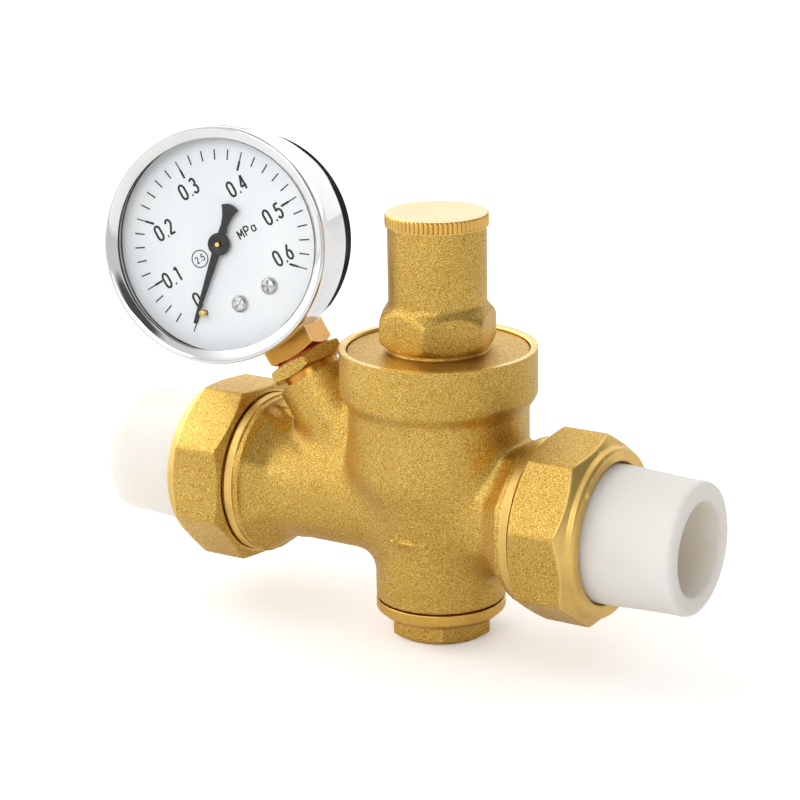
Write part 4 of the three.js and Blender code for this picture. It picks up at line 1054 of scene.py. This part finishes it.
# Pen strokes of each character in a box one unit wide and one unit tall.
STROKES = {
    "0": [arc(0.5, 0.7, 0.5, 0.3, 0, 180) + arc(0.5, 0.3, 0.5, 0.3, 180, 360) + [(1.0, 0.7)]],
    "1": [[(0.22, 0.84), (0.66, 1.0), (0.66, 0.0)]],
    "2": [arc(0.5, 0.73, 0.46, 0.27, 165, -25) + [(0.03, 0.02), (1.0, 0.02)]],
    "3": [
        arc(0.48, 0.755, 0.42, 0.245, 150, -75) + [(0.38, 0.52)],
        [(0.38, 0.52), *arc(0.46, 0.265, 0.5, 0.265, 80, -155)],
    ],
    "4": [[(0.76, 0.0), (0.76, 1.0), (0.0, 0.27), (1.05, 0.27)]],
    "5": [[(0.95, 0.99), (0.2, 0.99), (0.1, 0.53), *arc(0.48, 0.31, 0.48, 0.31, 125, -155)]],
    "6": [arc(0.5, 0.3, 0.48, 0.3, 0, 360), [(0.78, 1.0), (0.36, 0.66), (0.05, 0.4)]],
    ".": [[(0.0, 0.0), (0.6, 0.0)]],
    "M": [[(0.0, 0.0), (0.0, 1.0), (0.5, 0.3), (1.0, 1.0), (1.0, 0.0)]],
    "P": [[(0.0, 0.0), (0.0, 1.0), (0.5, 1.0), *arc(0.55, 0.74, 0.42, 0.26, 90, -90), (0.0, 0.48)]],
    "a": [arc(0.45, 0.32, 0.42, 0.32, 0, 360), [(0.87, 0.66), (0.87, 0.0)]],
}


SHARP_BEND = 0.8


def straight_runs(points):
    """A stroke broken at its sharp corners, where a bent tube would pinch."""
    runs = [[points[0]]]
    for before, here, after in zip(points, points[1:], points[2:]):
        runs[-1].append(here)
        came, goes = Vector(here) - Vector(before), Vector(after) - Vector(here)
        if came.length * goes.length > 0 and came.angle(goes) > SHARP_BEND:
            runs.append([here])
    runs[-1].append(points[-1])
    return runs


def words(text, x, y, height, width, stroke):
    """Characters drawn with a round pen, with the middle of the line at x, y."""
    curve = bpy.data.curves.new("print", "CURVE")
    curve.dimensions = "3D"
    curve.bevel_depth = stroke / 2
    curve.bevel_resolution = 3
    curve.use_fill_caps = True
    space = stroke * 1.7
    steps = [0.0]
    for letter in text:
        steps.append(steps[-1] + (stroke * 1.6 if letter == "." else width + space))
    middle = (steps[-1] - space) / 2
    for letter, start in zip(text, steps):
        wide = stroke if letter == "." else width
        for run in [run for line in STROKES[letter] for run in straight_runs(line)]:
            spline = curve.splines.new("POLY")
            spline.points.add(len(run) - 1)
            for point, (across, up) in zip(spline.points, run):
                point.co = (x + start - middle + across * wide, y + (up - 0.5) * height, 0, 1)
    drawn = put("print", curve)
    mesh = evaluated_mesh(drawn)
    bpy.data.objects.remove(drawn)
    thin = Matrix.Diagonal((1, 1, 2 * PRINT_RISE / stroke, 1))
    return finished("print", mesh, ON_DIAL @ shifted(z=DIAL.face) @ thin)


def dial_print():
    """Scale, numerals, unit and accuracy class, printed on the dial."""
    pieces = scale_marks()
    pieces += [words(text, x, y, 3.15, 1.22, 0.5) for text, x, y in NUMERALS]
    pieces.append(words("MPa", 6.5, -0.5, 1.9, 1.05, 0.34))
    pieces.append(words("2.5", *CLASS_MARK, 1.35, 0.62, 0.24))
    low, high = DIAL.face - PRINT_SINK, DIAL.face + PRINT_RISE
    circle = ring("circle", ON_DIAL @ shifted(*CLASS_MARK), 1.7, 1.92, low, high, 0.005, 64)
    piece = painted(joined("dial_scale", pieces + [circle]), [INK])
    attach(piece, "root")


def dial_screw(index, x, y, turn):
    seat = DIAL.face + 0.05
    place = ON_DIAL @ shifted(x, y) @ spun(turn)
    outline = [
        (0, 7.0), (0.8, 7.0), (0.8, seat), (1.85, seat, 0.05), (1.85, seat + 0.45, 0.3),
        (1.2, seat + 0.95, 0.3), (0, seat + 1.08),
    ]
    piece = turned(f"cross_screw_{index}", place, outline, 64)
    for angle in (0, 90):
        blade = [(-1.25, -0.26), (1.25, -0.26), (1.25, 0.26), (-1.25, 0.26)]
        slot = slab("slot", place @ spun(angle), blade, seat + 0.35, seat + 2)
        combine(piece, slot)
    fitted(piece, [STEEL], "root", "steel", f"dial_screw_{index}")


def stop_pin():
    outline = [(0, 8.6), (0.45, 8.6), (0.45, 11.3), (0.72, 11.5, 0.1), (0.72, 11.95, 0.2), (0, 12.1)]
    piece = turned("zero_pin", ON_DIAL @ shifted(*STOP_PIN), outline, 40)
    fitted(piece, [TURNED_DIAL], "root", "turned_brass", "stop_pin")


TAIL_STEPS = 8


def tail_curve(side):
    """The flared end of the pointer, behind its hub."""
    start, bend, end = Vector((0.8 * side, -4.2)), Vector((1.0 * side, -6.6)), Vector((2.0 * side, -8.2))
    parts = [i / TAIL_STEPS for i in range(TAIL_STEPS + 1)]
    return [tuple(start * (1 - t) ** 2 + bend * 2 * t * (1 - t) + end * t * t) for t in parts]


def pointer():
    place = ON_DIAL @ spun(POINTER_REST)
    right, left = tail_curve(1), tail_curve(-1)
    end = [(2.0 - 4.0 * i / 8, -8.2 - 0.7 * sin(pi * i / 8)) for i in range(1, 8)]
    outline = [(-1.0, 0), (-0.3, 17.8), (0.3, 17.8), (1.0, 0), *right, *end, *reversed(left)]
    piece = slab("dial_pointer", place, outline[::-1], 11.0, 11.35, 0.08)
    shape = [(0, 10.7), (2.4, 10.7, 0.1), (2.4, 11.6, 0.25), (1.5, 11.7, 0.3), (1.1, 11.55), (0, 11.55)]
    hub = turned("hub", place, shape, 64)
    combine(piece, hub, "UNION")
    combine(piece, rod("hole", place, 0.72, 10, 13, 32))
    fitted(piece, [POINTER_PAINT], "gauge_hand", "black_paint", "pointer")


def better_inside():
    """The CAD pieces that stay: smooth round faces and a real material for each."""
    finishes = {
        "steel": (STEEL, ["seat_ring", "valve_stem", "stem_nut", "disc_nut", "hairspring"]),
        "rubber": (RUBBER, ["disc_seal"]),
        "upright": (TURNED_UPRIGHT, [
            "slip_ring", "lower_spring_seat", "diaphragm_plate", "disc_holder",
            "upper_spring_seat", "adjusting_screw",
        ]),
        "gauge": (TURNED_DIAL, [
            "pointer_shaft", "sector_gear", "movement_back_plate", "movement_front_plate",
            "movement_pillar_1", "movement_pillar_2", "bourdon_tube", "tube_tip", "gauge_link",
        ]),
    }
    for material, names in finishes.values():
        for name in names:
            node = frame["nodes"][name]
            node.data.materials.clear()
            node.data.materials.append(material)
            node.data.polygons.foreach_set("use_smooth", [True] * len(node.data.polygons))
            node.data.set_sharp_from_angle(angle=radians(38))


# ---- soft pieces inside the valve ----

COIL = Sizes(radius=6.7, wire=0.8, turns=7, flat=0.35, low=29.3, high=46.4, split=35.3)
RUBBER_DISC = Sizes(bore=2.5, rim=18.7, bottom=25.0, thickness=1.6)
ROLL = Sizes(radius=13.1, half=1.1, rise=1.2)
BEND = Sizes(sectors=8, inner=11.6, outer=13.9)


def swept(name, place, loops, sharp=SHARP):
    """A solid through loops of points, closed with a face at both ends."""
    count = len(loops[0])
    vertices = [point for loop in loops for point in loop]
    last = len(vertices) - count
    faces = [tuple(range(count))[::-1], tuple(range(last, last + count))]
    for start in range(0, last, count):
        for k in range(count):
            one, two = start + k, start + (k + 1) % count
            faces.append((one, two, two + count, one + count))
    return from_faces(name, vertices, faces, place, sharp)


WIRE_SIDES = 12


def wire(name, place, points, radius):
    """A round bar along a line of points."""
    loops = []
    for before, here, after in zip(points[:1] + points, points, points[1:] + points[-1:]):
        along = (after - before).normalized()
        across = along.cross(Vector((0, 0, 1))).normalized()
        upward = across.cross(along)
        turns = [FULL_TURN * k / WIRE_SIDES for k in range(WIRE_SIDES)]
        loops.append([here + (across * cos(t) + upward * sin(t)) * radius for t in turns])
    return swept(name, place, loops, 60)


def coil_point(turn):
    """The middle of the spring's wire after a number of turns. Both end coils start flat."""
    rise = min(max((turn - COIL.flat) / (COIL.turns - 2 * COIL.flat), 0), 1)
    height = COIL.low + (COIL.high - COIL.low) * rise
    angle = FULL_TURN * turn
    return Vector((COIL.radius * cos(angle), COIL.radius * sin(angle), height))


def set_spring():
    """Two lengths of one spring, cut at a height. The lower one sits on the stem and the upper one under the
    adjusting screw.
    """
    steps = COIL.turns * 32
    points = [coil_point(COIL.turns * i / steps) for i in range(steps + 1)]
    cut = sum(point.z < COIL.split for point in points)
    halves = (
        ("spring_lower", points[: cut + 1], "stem_lift", COIL.low - COIL.wire),
        ("spring_upper", points[cut:], "adjuster_feed", COIL.high + COIL.wire),
    )
    for name, part, joint_name, end in halves:
        piece = painted(wire(name, UPRIGHT, part, COIL.wire), [STEEL])
        stands_for(piece, "root", "steel", "control_spring")
        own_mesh(piece)


def rubber_outline():
    """Section of the diaphragm: a flat disc with a rolled ring between its plates and its rim."""
    disc, half, steps = RUBBER_DISC, ROLL.half, 6
    low, high = disc.bottom, disc.bottom + disc.thickness
    offsets = [half * (2 * i / steps - 1) for i in range(steps + 1)]
    roll = [(ROLL.radius + o, ROLL.rise * cos(o / half * pi / 2)) for o in offsets]
    lower = [(disc.bore, low), *[(r, low + up) for r, up in roll], (disc.rim, low)]
    upper = [(disc.rim, high), *[(r, high + up) for r, up in reversed(roll)], (disc.bore, high)]
    return divided([Vector(point) for point in lower + upper], True, 0.6)


def diaphragm():
    """Wedges of one rubber disc, each reaching from its clamped rim to the plates on the stem."""
    outline = rubber_outline()
    width, steps = FULL_TURN / BEND.sectors, 12
    for index in range(BEND.sectors):
        middle = index * width
        angles = [middle + width * (i / steps - 0.5) for i in range(steps + 1)]
        loops = [[(p.x * cos(a), p.x * sin(a), p.y) for p in outline] for a in angles]
        piece = painted(swept(f"diaphragm_sector_{index + 1}", UPRIGHT, loops), [RUBBER])
        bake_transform(piece)
        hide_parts("diaphragm")


# ---- stage ----

CAMERA = Sizes(azimuth=32.08, elevation=16.70, roll=-0.94, distance=0.550, lens=117.86)
AIM = Vector((-9.54, 0, 20.97)) * MM


def camera():
    azimuth = radians(CAMERA.azimuth)
    back = direction(CAMERA.azimuth, CAMERA.elevation)
    right = Vector((cos(azimuth), sin(azimuth), 0))
    turn = Matrix((right, back.cross(right), back)).transposed().to_4x4()
    data = bpy.data.cameras.new("camera")
    data.lens = CAMERA.lens
    data.sensor_width = 36
    data.clip_start, data.clip_end = 0.01, 50
    made = put("camera", data)
    place = Matrix.Translation(AIM + back * CAMERA.distance)
    made.matrix_world = place @ turn @ spun(CAMERA.roll)
    bpy.context.scene.camera = made


# Name, azimuth, elevation, distance in metres, size in metres and power in watts.
LAMPS = [("key", -85, 42, 1.6, 1.0, 5), ("front", 8, 28, 1.6, 0.8, 5)]


def softbox(name, azimuth, elevation, distance, size, power):
    """A square lamp that looks at the valve."""
    data = bpy.data.lights.new(name, "AREA")
    data.shape = "RECTANGLE"
    data.size = data.size_y = size
    data.energy = power
    lamp = put(name, data)
    back = direction(azimuth, elevation)
    lamp.location = AIM + back * distance
    lamp.rotation_mode = "QUATERNION"
    lamp.rotation_quaternion = back.to_track_quat("Z", "Y")


def set_out(name, made, place, recipe):
    """A drawn thing of the stage, at its place."""
    thing = put(name, drawn_mesh(name, made))
    thing.location = place
    thing.data.materials.append(recipe.material)
    return thing


FLOOR_GLOW = 0.32
FLOOR_REACH = 6  # metres from the middle to a side


def floor():
    """A pale floor. Its glow is seen by the camera alone, so it doesn't light the valve from below."""
    recipe = Recipe("pale_floor", (0.9, 0.9, 0.9), 0.0, 0.6)
    recipe.set("Specular IOR Level", 0.0)
    recipe.set("Emission Color", (1, 1, 1, 1))
    seen = recipe.add("LightPath").outputs["Is Camera Ray"]
    glow = recipe.add("Math", {0: seen, 1: FLOOR_GLOW}, operation="MULTIPLY").outputs[0]
    recipe.use("Emission Strength", glow)
    recipe.use("Base Color", recipe.ramp(recipe.noise(8, 3.0), [(0.3, 0.90), (0.7, 0.93)]))
    made = bmesh.new()
    bmesh.ops.create_grid(made, x_segments=8, y_segments=8, size=FLOOR_REACH)
    plane = set_out("floor", made, (0, 0, GROUND - 0.0002), recipe)


# Each patch of light is an operation on the levels before it, then its middle as azimuth and elevation,
# the half angles where it starts and where it is full, and its level outside and inside.
SIDE_LIGHT = (-78, 16, 68, 10, 0.66, 1.62)
OTHER_PATCHES = [
    ("ADD", (205, 25, 70, 25, 0.0, 0.5)),
    ("MULTIPLY", (122, 24, 38, 28, 1.0, 0.36)),
    ("MULTIPLY", (0, 90, 18, 12, 1.0, 0.4)),
    ("MULTIPLY", (48, 42, 27, 15, 1.0, 0.12)),
]


def surroundings():
    """A light tent: brightest at the left and behind, dim round the photographer."""
    world = bpy.data.worlds.new("studio")
    bpy.context.scene.world = world
    world.use_nodes = True
    tree = world.node_tree
    sky = tree.nodes["Background"]
    sky.inputs["Color"].default_value = (1.0, 0.99, 0.975, 1)
    seen = add_node(tree, "TexCoord").outputs["Generated"]

    def patch(azimuth, elevation, wide, narrow, outside, inside):
        inputs = {0: seen, 1: direction(azimuth, elevation)}
        dot = add_node(tree, "VectorMath", inputs, operation="DOT_PRODUCT").outputs["Value"]
        inputs = {"Value": dot, "To Min": outside, "To Max": inside}
        inputs["From Min"] = cos(radians(wide))
        inputs["From Max"] = cos(radians(narrow))
        return add_node(tree, "MapRange", inputs, interpolation_type="SMOOTHSTEP").outputs["Result"]

    light = patch(*SIDE_LIGHT)
    for operation, levels in OTHER_PATCHES:
        light = add_node(tree, "Math", {0: light, 1: patch(*levels)}, operation=operation).outputs[0]
    tree.links.new(light, sky.inputs["Strength"])


# Corners of the card as azimuth and distance from the gauge in millimetres.
CARD_CORNERS = [
    (196, 140), (214, 400), (222, 600), (220, 1000), (216, 1100),
    (209, 4500), (186, 4500), (184, 600), (186, 200),
]
CARD_FADE = (-149, -142)  # azimuths between which it turns from dark to grey


def dark_card():
    """A dark sheet on the floor behind the gauge. Only reflections show it, so it edges the chrome."""
    made = bmesh.new()
    corners = [made.verts.new(direction(azimuth, 0) * reach * MM) for azimuth, reach in CARD_CORNERS]
    made.faces.new(corners)
    recipe = Recipe("card", (0.02, 0.02, 0.02), 0.0, 0.9)
    recipe.set("Specular IOR Level", 0.0)
    split = recipe.add("SeparateXYZ", {"Vector": recipe.place()}).outputs
    ahead = recipe.add("Math", {0: split["Y"], 1: -1.0}, operation="MULTIPLY").outputs[0]
    azimuth = recipe.add("Math", {0: split["X"], 1: ahead}, operation="ARCTAN2").outputs[0]
    start, end = CARD_FADE
    limits = {"From Min": radians(start), "From Max": radians(end), "To Min": 0.0, "To Max": 1.0}
    faded = recipe.add("MapRange", {"Value": azimuth, **limits}).outputs["Result"]
    cloth = recipe.ramp(recipe.noise(20, 3.0), [(0.3, 0.015), (0.7, 0.03)])
    recipe.use("Base Color", recipe.mix(faded, cloth, (0.35, 0.35, 0.35)))
    card = set_out("dark_card", made, (DIAL_CENTRE.x, DIAL_CENTRE.y, GROUND + 0.002), recipe)
    for kind in ("camera", "diffuse", "shadow", "transmission", "volume_scatter"):
        setattr(card, "visible_" + kind, False)


def stage():
    camera()
    floor()
    surroundings()
    dark_card()
    for lamp in LAMPS:
        softbox(*lamp)
    bpy.context.scene.view_settings.view_transform = "Standard"


# ---- the whole valve ----

SIDES = (("inlet", AT_INLET, -11), ("outlet", AT_OUTLET, 25.5))

for step in (stage, casting, bonnet, cap, cap_washer, plug, plug_seal):
    step()
for side, place, corner in SIDES:
    union_nut(f"{side}_nut_shell", place, corner, f"{side}_nut", f"{side}_union_nut")
for side, place, _ in SIDES:
    union_tail(f"{side}_pipe_tail", place, f"{side}_tail", f"{side}_union_tail")
for side, place, _ in SIDES:
    washer(f"{side}_face_seal", place, FACE_SEAL, RUBBER, f"{side}_tail", "rubber", f"{side}_union_gasket")
for step in (adapter, adapter_rings, block, case, bezel, lens, dial_face, dial_print):
    step()
for number, (screw_x, screw_y, screw_turn) in enumerate(DIAL_SCREWS, 1):
    dial_screw(number, screw_x, screw_y, screw_turn)
for step in (stop_pin, pointer, better_inside, set_spring, diaphragm):
    step()
